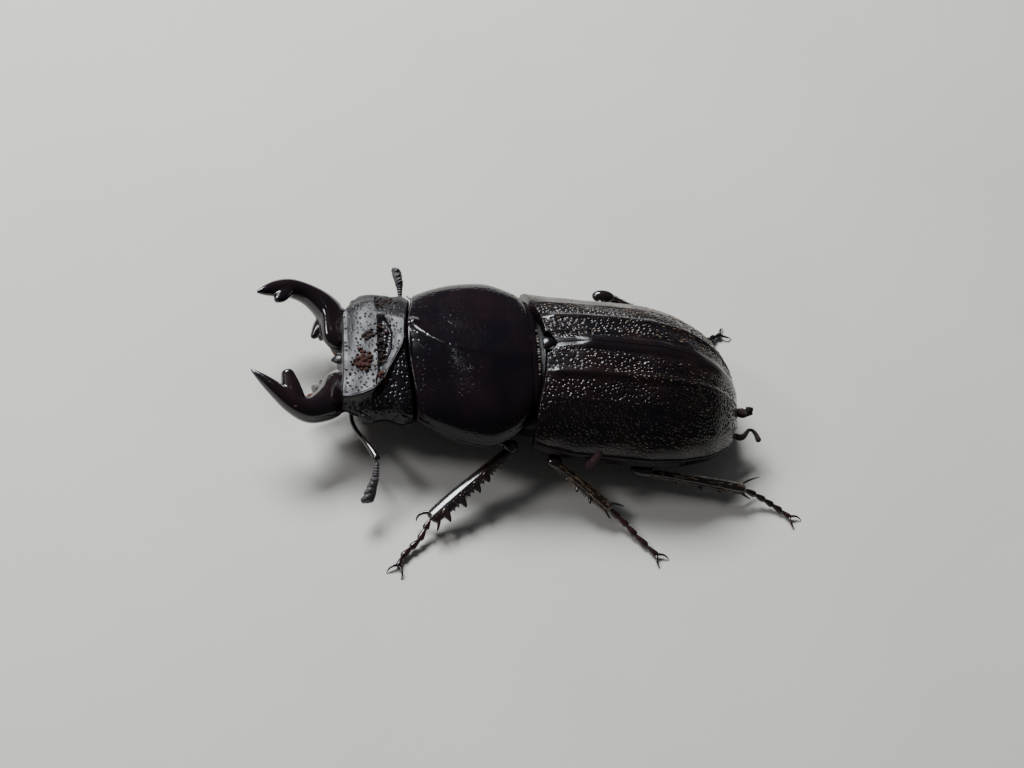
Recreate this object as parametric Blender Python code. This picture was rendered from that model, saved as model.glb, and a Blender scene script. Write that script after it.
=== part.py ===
# Mount mangana stag beetle, male: a still model at life size.
#
# The head points to -X and the left side to -Y. The beetle stands on the floor, z = 0, on its six feet.
# All sizes are in millimetres on the body's own axes, where x = 0 lies under the middle of the prothorax
# and y = 0 is the middle plane. BODY_SHIFT moves the body so that the model's origin
# is on the floor, under the middle of its box.

import bpy
import bmesh
from math import cos, exp, pi, sin
from mathutils import Vector

# Frame and clearances
MM = 0.001
BODY_SHIFT = Vector((-2.311, 2.288, 0.0))
GAP = 0.3
LEFT = -1
RIGHT = 1
UP = Vector((0, 0, 1))

# Smallest thickness of a limb, the end of a spine, and how far the end of a limb bulges
LIMB_RADIUS = 0.25
POINT_RADIUS = 0.05
END_BULGE = 0.25

# Colours of the horny skin and of the eyes
BLACK = (0.012, 0.011, 0.014, 1)
BROWN_BLACK = (0.022, 0.013, 0.010, 1)
EYE_COLOUR = (0.020, 0.022, 0.020, 1)
SHELL_ROUGHNESS = 0.25

# Profile rows of the head: x, half width, top, height of the side edge, bottom
HEAD_ROWS = (
    (-8.75, 3.75, 4.15, 2.95, 1.95),
    (-8.15, 4.10, 4.50, 2.98, 1.60),
    (-7.45, 4.42, 4.85, 3.02, 1.35),
    (-6.75, 4.32, 5.15, 3.06, 1.20),
    (-6.15, 4.58, 5.30, 3.10, 1.10),
    (-5.76, 4.36, 5.30, 3.14, 1.10),
)
HEAD_STEPS = 12
HEAD_SIDES = 36
HEAD_FRONT_CURVE = 0.55
HOLLOW_PLACE = (-7.05, 0.0)
HOLLOW_REACH = (0.55, 2.1)
HOLLOW_DEPTH = 0.38

# Profile rows of the prothorax, in the same order
PROTHORAX_ROWS = (
    (-5.40, 4.36, 5.10, 3.30, 1.45),
    (-4.40, 4.80, 5.52, 3.20, 1.15),
    (-2.90, 5.30, 5.85, 3.12, 1.00),
    (-1.10, 5.52, 6.00, 3.22, 0.95),
    (0.25, 5.02, 5.95, 3.60, 1.15),
    (1.10, 4.36, 5.82, 4.05, 1.45),
    (1.80, 3.62, 5.55, 4.15, 1.95),
)
PROTHORAX_STEPS = 14
PROTHORAX_SIDES = 40
COLLAR_CURVE = 0.75
UNDERSIDE_TAPER = 1.6
TOP_FULLNESS = 0.9
TUBERCLE_PLACE = (-5.05, 0.75)
TUBERCLE_RADIUS = 0.28
TUBERCLE_HEIGHT = 0.14

# Wing cases, and the hind body that they cover
ELYTRA_FRONT = 2.55
ELYTRA_WIDEST = 8.1
ELYTRA_REAR = 14.9
ELYTRA_HALF_WIDTH = 5.5
SHOULDER_NARROWING = 0.15
SHOULDER_AHEAD = 0.6
SHOULDER_AHEAD_SHARE = 0.25
ELYTRA_HEIGHT = 6.48
ELYTRA_HIGHEST = 6.0
ELYTRA_FRONT_DROP = 0.48
ELYTRA_MIDDLE_DROP = 0.08
ELYTRA_EDGE = 2.4
SHOULDER_LIFT = 0.55
REAR_EDGE_DROP = 0.8
ELYTRA_SQUARENESS = 1.05
ELYTRA_PLAN_ROUNDNESS = 0.82
ELYTRA_PROFILE_ROUNDNESS = 1.28
ELYTRA_FRONT_SHARE = 0.45
ELYTRA_LAST_ANGLE = 0.455 * pi
ELYTRA_THICKNESS = 0.5
ELYTRA_STEPS = 20
SUTURE_GAP = 0.5 * GAP
SUTURE_RIDGE = 0.08
RIB_PLACES = (0.21, 0.41, 0.62)
RIB_HEIGHT = 0.11
RIB_WIDTH = 0.03
RIB_FLANK = 0.05
NOTCH_DEPTH = 0.85
NOTCH_SHARE = 0.15

# Hind body under the wing cases, with the belly plates of the abdomen
BELLY_INSET = ELYTRA_THICKNESS + GAP + 0.13
BELLY_TOP_SHARES = (0.0, 0.15, 0.3, 0.45, 0.6, 0.75, 0.9, 1.0)
BELLY_BOTTOM = 1.0
BELLY_TIP_BOTTOM = 1.6
BELLY_SIDES = 5

# Below the rims of the wing cases the belly widens: how far below, how far in from their outer side,
# and between which x it does so
BELLY_RIM_GAP = 0.33
BELLY_FLARE_INSET = 0.28
BELLY_FLARE_FROM = 2.7
BELLY_FLARE_TO = 3.7
NECK_LENGTH = 0.3
NECK_SHARE = 0.86
WAIST_X = 7.35
METATHORAX_STEPS = 6
BELLY_PLATES = 5
GROOVE_DEPTH = 0.12
ABDOMEN_LAST_SHARE = 0.96

# Mandibles: x, distance from the middle plane, z, half width, half height
LEFT_MANDIBLE_ROWS = (
    (-8.60, 2.35, 2.68, 1.34, 0.60),
    (-9.10, 2.50, 2.72, 1.34, 0.66),
    (-9.75, 3.35, 2.88, 1.05, 0.80),
    (-10.70, 4.12, 3.15, 0.72, 0.70),
    (-11.75, 4.02, 3.58, 0.58, 0.58),
    (-12.75, 3.46, 3.98, 0.44, 0.44),
    (-13.45, 3.00, 4.18, 0.26, 0.27),
    (-13.98, 2.62, 4.30, 0.08, 0.08),
)
RIGHT_MANDIBLE_ROWS = (
    (-8.60, 2.25, 2.68, 1.42, 0.60),
    (-9.10, 2.34, 2.72, 1.50, 0.66),
    (-9.75, 3.36, 2.90, 0.92, 0.80),
    (-10.70, 3.90, 3.25, 0.60, 0.66),
    (-11.75, 3.88, 3.68, 0.54, 0.56),
    (-12.65, 3.48, 4.00, 0.48, 0.44),
    (-13.30, 3.08, 4.22, 0.28, 0.28),
    (-13.72, 2.80, 4.36, 0.08, 0.08),
)
LEFT_TOOTH_ROWS = (
    (-11.65, 3.75, 3.65, 0.50, 0.40),
    (-11.72, 2.95, 3.92, 0.36, 0.32),
    (-11.88, 2.35, 4.12, 0.22, 0.22),
)
RIGHT_TOOTH_ROWS = (
    (-12.10, 3.60, 3.85, 0.55, 0.40),
    (-12.35, 2.95, 4.00, 0.42, 0.32),
    (-12.56, 2.56, 4.15, 0.22, 0.22),
)
BASAL_TOOTH_ROWS = (
    (-9.55, 2.70, 2.55, 0.60, 0.50),
    (-9.95, 2.15, 2.32, 0.38, 0.34),
    (-10.25, 1.72, 2.18, 0.14, 0.14),
)
MANDIBLE_LEAN = Vector((-1.8, 0, 0))
MANDIBLE_SIDES = 14
MANDIBLE_STEPS = 18
MANDIBLE_ROOT_ROWS = 4
TOOTH_SIDES = 10
TOOTH_STEPS = 4

# Mouth, eyes and feelers: x, distance from the middle plane, z, half width, half height
LABRUM_ROWS = (
    (-9.06, 0.0, 2.66, 0.38, 0.30),
    (-9.18, 0.0, 2.58, 0.32, 0.26),
    (-9.34, 0.0, 2.46, 0.14, 0.14),
)
LEFT_PALP_ROWS = (
    (-8.50, 1.10, 1.26, 0.25, 0.25),
    (-9.30, 1.45, 1.28, 0.27, 0.27),
    (-10.40, 1.92, 1.45, 0.22, 0.22),
)
RIGHT_PALP_ROWS = (
    (-8.50, 1.30, 1.26, 0.25, 0.25),
    (-9.00, 2.20, 1.22, 0.27, 0.27),
    (-9.20, 3.10, 1.24, 0.22, 0.22),
)
PALP_STEPS = 4
LABRUM_STEPS = 3
EYE_CENTRE = (-7.38, 3.92, 2.92)
EYE_RADII = (0.62, 0.52, 0.50)
LEFT_SCAPE_ROWS = (
    (-8.12, 3.55, 1.72, 0.25, 0.25),
    (-7.80, 4.50, 1.92, 0.25, 0.25),
    (-7.31, 5.45, 2.20, 0.26, 0.26),
    (-6.88, 6.20, 2.28, 0.30, 0.30),
)
SCAPE_STEPS = 6
SCAPE_ROOT_ROWS = 3
RIGHT_SCAPE_ROWS = (
    (-8.12, 3.55, 1.72, 0.25, 0.25),
    (-7.20, 4.45, 1.78, 0.25, 0.25),
    (-6.20, 4.85, 1.98, 0.26, 0.26),
    (-5.30, 4.92, 2.25, 0.30, 0.30),
)
LEFT_CLUB_ROWS = (
    (-6.90, 6.70, 2.18, 0.25, 0.25),
    (-6.98, 7.20, 1.98, 0.25, 0.25),
    (-7.11, 7.60, 1.82, 0.34, 0.28),
    (-7.30, 8.08, 1.62, 0.44, 0.32),
    (-7.48, 8.48, 1.46, 0.38, 0.28),
)
RIGHT_CLUB_ROWS = (
    (-5.16, 5.52, 2.46, 0.25, 0.25),
    (-5.22, 5.82, 2.56, 0.25, 0.25),
    (-5.30, 6.08, 2.63, 0.32, 0.28),
    (-5.39, 6.42, 2.72, 0.40, 0.30),
    (-5.46, 6.72, 2.78, 0.34, 0.28),
)
CLUB_STEPS = 11
CLUB_ROOT = 4
CLUB_PINCH = 0.72

# Legs, each with the places of its joints and the path of its foot: x, distance from the middle plane, z
LEG_PATHS = {
    "fore_left": (LEFT, (-1.90, 1.50, 0.90), (0.78, 4.98, 2.50), (-3.75, 9.10, 0.85), (
        (-3.97, 9.52, 0.62), (-4.25, 10.10, 0.42), (-4.72, 10.60, 0.30), (-5.20, 11.15, 0.22), (-5.45, 11.75, 0.20))),
    "mid_left": (LEFT, (3.90, 1.70, 0.90), (3.22, 5.59, 2.20), (6.59, 7.45, 0.95), (
        (7.20, 7.76, 0.62), (7.68, 8.15, 0.44), (8.16, 8.65, 0.30), (8.77, 9.25, 0.22), (9.35, 9.85, 0.20))),
    "hind_left": (LEFT, (6.40, 1.60, 0.90), (8.70, 5.25, 1.65), (14.85, 5.45, 1.05), (
        (15.65, 5.50, 0.72), (16.25, 5.65, 0.50), (16.80, 5.85, 0.32), (17.30, 6.12, 0.22), (17.85, 6.55, 0.20))),
    "fore_right": (RIGHT, (-1.90, 1.50, 0.90), (0.75, 4.95, 2.30), (-4.35, 5.75, 0.85), (
        (-4.90, 5.95, 0.60), (-5.42, 6.05, 0.42), (-5.95, 6.02, 0.30), (-6.52, 5.88, 0.22), (-7.10, 5.68, 0.20))),
    "mid_right": (RIGHT, (3.90, 1.70, 0.90), (2.60, 5.75, 2.05), (5.30, 6.70, 0.90), (
        (5.88, 7.05, 0.62), (6.36, 7.28, 0.44), (6.86, 7.42, 0.30), (7.46, 7.50, 0.22), (8.08, 7.48, 0.20))),
    "hind_right": (RIGHT, (6.40, 1.60, 0.90), (7.45, 7.32, 2.10), (12.85, 5.50, 1.00), (
        (13.62, 5.48, 0.72), (14.14, 5.78, 0.50), (14.58, 6.12, 0.32), (15.02, 6.46, 0.22), (15.50, 6.74, 0.20))),
}
COXA_RADII = (0.62, 0.80, 0.48)
FEMUR_RADII = (0.34, 0.52, 0.58, 0.50, 0.34)
FEMUR_FLATNESS = 0.72
FEMUR_STEPS = 7
LIMB_SIDES = 8
KNEE_RADIUS = 0.32
ANKLE_BACK = 0.22
ANKLE_AHEAD = 0.22
TIBIA_RADII = {
    "fore": (0.26, 0.32, 0.38, 0.45, 0.46),
    "mid": (0.25, 0.27, 0.29, 0.33, 0.35),
    "hind": (0.25, 0.27, 0.29, 0.33, 0.35),
}
TIBIA_FLATNESS = {"fore": 0.55, "mid": 0.80, "hind": 0.80}
TIBIA_STEPS = 7
TIBIA_TEETH = {
    "fore": ((0.36, 0.34), (0.48, 0.48), (0.68, 0.58), (0.88, 0.62)),
    "mid": ((0.45, 0.30), (0.70, 0.36)),
    "hind": ((0.55, 0.30),),
}
TOOTH_SLANT = 0.45
TIBIA_SPURS = {"fore": (0.95, 0.80), "mid": (0.95, 0.55), "hind": (1.40, 0.60)}
SPINE_SIDES = 5
TOOTH_RADIUS = 0.2
SPUR_RADIUS = 0.14
SPUR_SET_BACK = 0.25
SPUR_SPREAD = 0.6
TARSUS_WIDE = 0.28
TARSUS_NARROW = 0.25
TARSUS_NARROW_SHARE = 0.12
TARSUS_WIDE_SHARE = 0.78
TARSUS_SIDES = 8
TARSUS_JOINTS = 5
CLAW_LENGTH = 0.62
CLAW_SPREAD = 0.42
CLAW_RADIUS = 0.13


# Curves and tubes

def smooth_rows(rows, steps):
    """Rows at even steps along a smooth curve through the given rows."""
    last = len(rows) - 1
    result = []
    for k in range(steps + 1):
        place = last * k / steps
        i = min(int(place), last - 1)
        t = place - i
        a = rows[max(i - 1, 0)]
        b = rows[i]
        c = rows[i + 1]
        d = rows[min(i + 2, last)]
        row = []
        for p, q, r, s in zip(a, b, c, d):
            bend = (2 * p - 5 * q + 4 * r - s) * t * t + (3 * q - p - 3 * r + s) * t ** 3
            row.append(0.5 * (2 * q + (r - p) * t + bend))
        result.append(tuple(row))
    return result


def skin(rings, first_pole, last_pole):
    """A closed body: rings of points in order, each end closed on its pole."""
    sides = len(rings[0])
    points = [point for ring in rings for point in ring]
    faces = []
    for j in range(len(rings) - 1):
        for i in range(sides):
            near = j * sides
            after = (i + 1) % sides
            faces.append((near + i, near + after, near + sides + after, near + sides + i))
    first = len(points)
    points.append(first_pole)
    points.append(last_pole)
    base = (len(rings) - 1) * sides
    for i in range(sides):
        after = (i + 1) % sides
        faces.append((first, after, i))
        faces.append((first + 1, base + i, base + after))
    return points, faces


def above_floor(point):
    """The same point, or the one on the floor above it where it would lie below the floor."""
    return Vector((point.x, point.y, max(point.z, 0.0)))


def tube(rows, sides, lean=Vector((0, 0, 0))):
    """A closed limb along rows of (place, half width, half height). Its rings are turned towards lean."""
    centres = [Vector(row[:3]) for row in rows]
    rings = []
    for k, centre in enumerate(centres):
        along = (centres[min(k + 1, len(rows) - 1)] - centres[max(k - 1, 0)]).normalized()
        along = (along + lean).normalized()
        wide = along.cross(UP).normalized()
        high = wide.cross(along)
        ring = []
        for i in range(sides):
            angle = 2 * pi * (i + 0.5) / sides
            offset = wide * (rows[k][3] * cos(angle)) + high * (rows[k][4] * sin(angle))
            ring.append(above_floor(centre + offset))
        rings.append(ring)
    start = (centres[0] - centres[1]).normalized() * min(rows[0][3:5]) * END_BULGE
    end = (centres[-1] - centres[-2]).normalized() * min(rows[-1][3:5]) * END_BULGE
    return skin(rings, above_floor(centres[0] + start), above_floor(centres[-1] + end))


def spine(root, tip, radius, bend=Vector((0, 0, 0))):
    """A thin cone from root to tip, with its middle pushed aside by bend."""
    middle = (root + tip) / 2 + bend
    rows = []
    for place, size in ((root, radius), (middle, 0.7 * radius), (tip, POINT_RADIUS)):
        rows.append((*place, size, size))
    return tube(rows, SPINE_SIDES)


def widened(rows, growth):
    """The same rows with every radius and both ends grown, for a socket."""
    result = []
    for k, row in enumerate(rows):
        place = Vector(row[:3])
        if k == 0:
            place += (place - Vector(rows[1][:3])).normalized() * growth
        if k == len(rows) - 1:
            place += (place - Vector(rows[-2][:3])).normalized() * growth
        result.append((*place, row[3] + growth, row[4] + growth))
    return result


def on_side(rows, side):
    """Rows with their distance from the middle plane turned into a y on the given side."""
    return [(row[0], side * row[1], *row[2:]) for row in rows]


# Solids

def make_material(name, colour):
    material = bpy.data.materials.new(name)
    material.use_nodes = True
    shader = material.node_tree.nodes["Principled BSDF"]
    shader.inputs["Base Color"].default_value = colour
    shader.inputs["Roughness"].default_value = SHELL_ROUGHNESS
    shader.inputs["Metallic"].default_value = 0.0
    material.diffuse_color = colour
    return material


def mesh_object(name, points, faces):
    """An object from points in millimetres on the body's axes, with its faces turned outwards."""
    mesh = bpy.data.meshes.new(name)
    mesh.from_pydata([(point + BODY_SHIFT) * MM for point in points], [], faces)
    build = bmesh.new()
    build.from_mesh(mesh)
    bmesh.ops.recalc_face_normals(build, faces=build.faces)
    bmesh.ops.triangulate(build, faces=build.faces)
    if build.calc_volume(signed=True) < 0:
        bmesh.ops.reverse_faces(build, faces=build.faces)
    build.to_mesh(mesh)
    build.free()
    piece = bpy.data.objects.new(name, mesh)
    bpy.context.scene.collection.objects.link(piece)
    return piece


def evaluated_mesh(piece):
    """A mesh of the object as its modifiers leave it."""
    bpy.context.view_layer.update()
    graph = bpy.context.evaluated_depsgraph_get()
    return bpy.data.meshes.new_from_object(piece.evaluated_get(graph), depsgraph=graph)


def keep_largest_surface(mesh):
    """Only the connected surface with the most faces stays."""
    build = bmesh.new()
    build.from_mesh(mesh)
    unseen = set(build.faces)
    largest = []
    while unseen:
        group = [unseen.pop()]
        for face in group:
            for edge in face.edges:
                for other in edge.link_faces:
                    if other in unseen:
                        unseen.remove(other)
                        group.append(other)
        if len(group) > len(largest):
            largest = group
    kept = set(largest)
    bmesh.ops.delete(build, geom=[face for face in build.faces if face not in kept], context="FACES")
    bmesh.ops.triangulate(build, faces=build.faces)
    build.to_mesh(mesh)
    build.free()


def combine(base, others, operation):
    """The base object joined with the others, or cut by them, as one closed body."""
    group = bpy.data.collections.new("joined pieces")
    for other in others:
        group.objects.link(other)
    boolean = base.modifiers.new("Join", "BOOLEAN")
    boolean.operation = operation
    boolean.operand_type = "COLLECTION"
    boolean.collection = group
    boolean.solver = "EXACT"
    mesh = evaluated_mesh(base)
    base.modifiers.clear()
    base.data = mesh
    for other in others:
        bpy.data.objects.remove(other)
    bpy.data.collections.remove(group)
    keep_largest_surface(mesh)


def add_part(name, material, body, grown=(), cutters=()):
    """One node: its body, with grown pieces fused to it and cutters taken from it."""
    piece = mesh_object(name, *body)
    if grown:
        combine(piece, [mesh_object(name + "_piece", *item) for item in grown], "UNION")
    if cutters:
        combine(piece, [mesh_object(name + "_cutter", *item) for item in cutters], "DIFFERENCE")
    piece.data.materials.clear()
    piece.data.materials.append(material)
    piece.data.shade_smooth()
    piece.data.set_sharp_from_angle(angle=pi / 5)
    return piece


# Head and prothorax, lofted along x

def body_ring(row, sides, shift_x, shape_top):
    """A cross-section: rounded above its side edge, and drawn in below it."""
    x, half_width, top, edge, bottom = row
    ring = []
    for i in range(sides):
        angle = 2 * pi * i / sides
        across = cos(angle)
        rise = sin(angle)
        if rise < 0:
            y = half_width * (1 if across > 0 else -1) * abs(across) ** UNDERSIDE_TAPER
            z = edge + (edge - bottom) * rise
        else:
            y = half_width * across
            z = edge + (top - edge) * rise ** TOP_FULLNESS
        point = Vector((x + shift_x(y / half_width), y, z))
        point.z += rise * shape_top(point.x, point.y) if rise > 0 else 0
        ring.append(point)
    return ring


def shrunk(ring, share, push):
    """A smaller copy of a ring, moved along x, that rounds off the end of a loft."""
    centre = sum(ring, Vector()) / len(ring)
    return [centre + (point - centre) * share + Vector((push, 0, 0)) for point in ring]


def loft_body(rows, steps, sides, shift_x, shape_top, push):
    """A closed body through its profile rows, with both ends rounded off."""
    smooth = smooth_rows(rows, steps)
    rings = []
    for k, row in enumerate(smooth):
        fade = 1 - k / steps
        rings.append(body_ring(row, sides, lambda t: shift_x(t, fade), shape_top))
    front = shrunk(rings[0], 0.9, -push)
    back = shrunk(rings[-1], 0.9, push)
    rings = [front] + rings + [back]
    first = sum(front, Vector()) / sides
    last = sum(back, Vector()) / sides
    return skin(rings, first, last)


def head_shift(t, fade):
    """The front of the head curves back towards its sides, and so does its hind edge."""
    return HEAD_FRONT_CURVE * abs(t) ** 3 * fade + COLLAR_CURVE * t * t * (1 - fade)


def head_relief(x, y):
    """The shallow hollow behind the front plate."""
    u = (x - HOLLOW_PLACE[0]) / HOLLOW_REACH[0]
    v = (y - HOLLOW_PLACE[1]) / HOLLOW_REACH[1]
    return -HOLLOW_DEPTH * exp(-u * u - v ** 4)


def collar_shift(t, fade):
    """The front edge of the prothorax, which follows the hind edge of the head."""
    return COLLAR_CURVE * t * t * fade


def prothorax_relief(x, y):
    """The two small tubercles behind the front edge."""
    u = (x - TUBERCLE_PLACE[0]) / TUBERCLE_RADIUS
    v = (abs(y) - TUBERCLE_PLACE[1]) / TUBERCLE_RADIUS
    return TUBERCLE_HEIGHT * exp(-u * u - v * v)


def ball(centre, radii, sides=14, rings=8):
    """A closed ellipsoid."""
    middle = Vector(centre)
    layers = []
    for j in range(1, rings):
        tilt = pi * j / rings
        layer = []
        for i in range(sides):
            turn = 2 * pi * i / sides
            offset = (sin(tilt) * cos(turn) * radii[0], sin(tilt) * sin(turn) * radii[1], cos(tilt) * radii[2])
            layer.append(middle + Vector(offset))
        layers.append(layer)
    pole = Vector((0, 0, radii[2]))
    return skin(layers, middle + pole, middle - pole)


def eye_ball(side, growth):
    radii = [radius + growth for radius in EYE_RADII]
    return ball((EYE_CENTRE[0], side * EYE_CENTRE[1], EYE_CENTRE[2]), radii)


def mandible_rows(side, rows):
    return on_side(smooth_rows(rows, MANDIBLE_STEPS), side)


def make_head(shell, eye_shell):
    """The head, with sockets for the eyes, the mandibles and the feelers."""
    sockets = []
    for side, jaw_rows, scape_rows in ((LEFT, LEFT_MANDIBLE_ROWS, LEFT_SCAPE_ROWS),
                                       (RIGHT, RIGHT_MANDIBLE_ROWS, RIGHT_SCAPE_ROWS)):
        sockets.append(eye_ball(side, GAP))
        jaw_root = widened(mandible_rows(side, jaw_rows)[:MANDIBLE_ROOT_ROWS], GAP)
        sockets.append(tube(jaw_root, MANDIBLE_SIDES, MANDIBLE_LEAN))
        scape_root = widened(on_side(smooth_rows(scape_rows, SCAPE_STEPS), side)[:SCAPE_ROOT_ROWS], GAP)
        sockets.append(tube(scape_root, LIMB_SIDES))
    head = loft_body(HEAD_ROWS, HEAD_STEPS, HEAD_SIDES, head_shift, head_relief, 0.0)
    add_part("head", shell, head, cutters=sockets)
    for side, word in ((LEFT, "left"), (RIGHT, "right")):
        add_part("eye_" + word, eye_shell, eye_ball(side, 0.0))
    for side, word, rows in ((LEFT, "left", LEFT_PALP_ROWS), (RIGHT, "right", RIGHT_PALP_ROWS)):
        palp = tube(on_side(smooth_rows(rows, PALP_STEPS), side), LIMB_SIDES)
        add_part("palp_" + word, shell, palp)
    add_part("labrum", shell, tube(smooth_rows(LABRUM_ROWS, LABRUM_STEPS), LIMB_SIDES))


def make_prothorax(shell, cutters):
    prothorax = loft_body(PROTHORAX_ROWS, PROTHORAX_STEPS, PROTHORAX_SIDES, collar_shift, prothorax_relief, 0.0)
    add_part("prothorax", shell, prothorax, cutters=cutters)


def make_mandible(word, side, rows, tooth_rows, shell):
    jaw = tube(mandible_rows(side, rows), MANDIBLE_SIDES, MANDIBLE_LEAN)
    teeth = []
    for tooth in (tooth_rows, BASAL_TOOTH_ROWS):
        teeth.append(tube(on_side(smooth_rows(tooth, TOOTH_STEPS), side), TOOTH_SIDES))
    add_part("mandible_" + word, shell, jaw, grown=teeth)


def pinched_club(rows):
    """Rows of a feeler's club, pinched between its three broad last joints."""
    result = []
    for k, row in enumerate(smooth_rows(rows, CLUB_STEPS)):
        pinch = CLUB_PINCH if k > CLUB_ROOT and k % 2 == 0 else 1.0
        result.append((*row[:3], max(row[3] * pinch, LIMB_RADIUS), max(row[4] * pinch, LIMB_RADIUS)))
    return result


def make_feeler(word, side, scape_rows, club_rows, shell):
    add_part("scape_" + word, shell, tube(on_side(smooth_rows(scape_rows, SCAPE_STEPS), side), LIMB_SIDES))
    add_part("club_" + word, shell, tube(on_side(pinched_club(club_rows), side), LIMB_SIDES))


# Wing cases and the hind body under them

def elytra_size(s, inset):
    """x, half width, top and side edge at share s of the wing cases' length, drawn in by an inset."""
    if s < ELYTRA_FRONT_SHARE:
        x = ELYTRA_FRONT + (ELYTRA_WIDEST - ELYTRA_FRONT) * s / ELYTRA_FRONT_SHARE
        ahead = (ELYTRA_WIDEST - x) / (ELYTRA_WIDEST - ELYTRA_FRONT)
        half_width = ELYTRA_HALF_WIDTH - inset - SHOULDER_NARROWING * ahead ** 2.2
        closing = 1.0
    else:
        turn = ELYTRA_LAST_ANGLE * (s - ELYTRA_FRONT_SHARE) / (1 - ELYTRA_FRONT_SHARE)
        x = ELYTRA_WIDEST + (ELYTRA_REAR - inset - ELYTRA_WIDEST) * sin(turn)
        half_width = (ELYTRA_HALF_WIDTH - inset) * cos(turn) ** ELYTRA_PLAN_ROUNDNESS
        closing = cos(turn) ** ELYTRA_PROFILE_ROUNDNESS
    edge = ELYTRA_EDGE
    edge += SHOULDER_LIFT * max(0.0, (5.0 - x) / 2.45) ** 2
    edge -= REAR_EDGE_DROP * max(0.0, (x - 9.0) / 6.0) ** 2
    height = ELYTRA_HEIGHT - inset - edge
    if x < ELYTRA_HIGHEST:
        height -= ELYTRA_FRONT_DROP * ((ELYTRA_HIGHEST - x) / (ELYTRA_HIGHEST - ELYTRA_FRONT)) ** 2
    else:
        height -= ELYTRA_MIDDLE_DROP * ((x - ELYTRA_HIGHEST) / (ELYTRA_REAR - ELYTRA_HIGHEST)) ** 2
    return x, half_width, edge + height * closing, edge


def smooth_elytron(s, t, inset):
    """A point of the right wing case without its ribs: t runs from the suture, 0, to the side edge, 1."""
    x, half_width, top, edge = elytra_size(s, inset)
    y = half_width * max(sin(t * pi / 2), 0.0) ** ELYTRA_SQUARENESS
    z = edge + (top - edge) * max(cos(t * pi / 2), 0.0) ** ELYTRA_SQUARENESS
    return Vector((x, y, z))


def elytron_point(s, t, inset):
    """A point of the right wing case, kept on its side of the suture and clear of the scutellum."""
    point = smooth_elytron(s, t, inset)
    notch = NOTCH_DEPTH * max(0.0, 1 - t / NOTCH_SHARE) * max(0.0, 1 - s / 0.2)
    ahead = SHOULDER_AHEAD * t ** 3 * max(0.0, 1 - s / SHOULDER_AHEAD_SHARE)
    return Vector((point.x + notch - ahead, max(point.y, SUTURE_GAP), point.z))


def rib_relief(s, t):
    """How far the ribs and the raised suture stand above the smooth wing case."""
    fade = min(1.0, 6 * s, 3 * (1 - s))
    relief = SUTURE_RIDGE * exp(-(t / RIB_WIDTH) ** 2)
    for place in RIB_PLACES:
        relief += RIB_HEIGHT * exp(-((t - place) / RIB_WIDTH) ** 2)
    return fade * relief


def elytron_columns():
    columns = [0.0, 0.06, 0.13, 0.31, 0.515, 0.72, 0.81, 0.9, 0.96, 1.0]
    for place in RIB_PLACES:
        columns.extend((place - RIB_FLANK, place, place + RIB_FLANK))
    return sorted(columns)


def make_elytron(word, side, shell):
    """A curved shell with three raised ribs: each ring goes out over the top and back along the inside."""
    columns = elytron_columns()
    rings = []
    for j in range(ELYTRA_STEPS + 1):
        s = j / ELYTRA_STEPS
        outer = [elytron_point(s, t, -rib_relief(s, t)) for t in columns]
        inner = [elytron_point(s, t, ELYTRA_THICKNESS) for t in reversed(columns)]
        rings.append([Vector((p.x, side * p.y, p.z)) for p in outer + inner])
    points = [point for ring in rings for point in ring]
    sides = len(rings[0])
    faces = []
    for j in range(ELYTRA_STEPS):
        for i in range(sides):
            after = (i + 1) % sides
            near = j * sides
            faces.append((near + i, near + after, near + sides + after, near + sides + i))
    for start in (0, ELYTRA_STEPS * sides):
        for i in range(len(columns) - 1):
            faces.append((start + i, start + i + 1, start + sides - 2 - i, start + sides - 1 - i))
    add_part("elytron_" + word, shell, (points, faces))


def belly_ring(s, pinch):
    """A cross-section of the hind body: it keeps a gap to the wing cases, and is rounded below."""
    upper = []
    for t in BELLY_TOP_SHARES:
        upper.append(smooth_elytron(s, t, BELLY_INSET))
    edge = upper[-1]
    bottom = BELLY_BOTTOM + (BELLY_TIP_BOTTOM - BELLY_BOTTOM) * max(0.0, (edge.x - 9.0) / 6.0) ** 2
    flare = min(max((edge.x - BELLY_FLARE_FROM) / (BELLY_FLARE_TO - BELLY_FLARE_FROM), 0.0), 1.0)
    widest = edge.y + (smooth_elytron(s, 1.0, BELLY_FLARE_INSET).y - edge.y) * flare
    below = edge.z - BELLY_RIM_GAP
    lower = [Vector((edge.x, edge.y, edge.z - BELLY_RIM_GAP * (1 + flare) / 2))]
    for i in range(BELLY_SIDES + 1):
        angle = pi / 2 * i / BELLY_SIDES
        y = (widest - pinch) * max(cos(angle), 0.0) ** 1.1
        z = below - (below - bottom - pinch) * sin(angle)
        lower.append(Vector((edge.x, y, z)))
    half = upper + lower
    mirrored = [Vector((p.x, -p.y, p.z)) for p in reversed(half[1:-1])]
    return half + mirrored


def belly_body(sections, neck_length):
    """A closed body from (share of the length, pinch) pairs, drawn in to a neck in front."""
    rings = [belly_ring(s, pinch) for s, pinch in sections]
    if neck_length:
        rings.insert(0, shrunk(rings[0], NECK_SHARE, -neck_length))
    first = sum(rings[0], Vector()) / len(rings[0])
    last = sum(rings[-1], Vector()) / len(rings[-1])
    return skin(rings, first, last)


def share_at(x):
    """The share of the wing cases' length at an x ahead of their widest place."""
    return ELYTRA_FRONT_SHARE * (x - ELYTRA_FRONT) / (ELYTRA_WIDEST - ELYTRA_FRONT)


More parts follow.
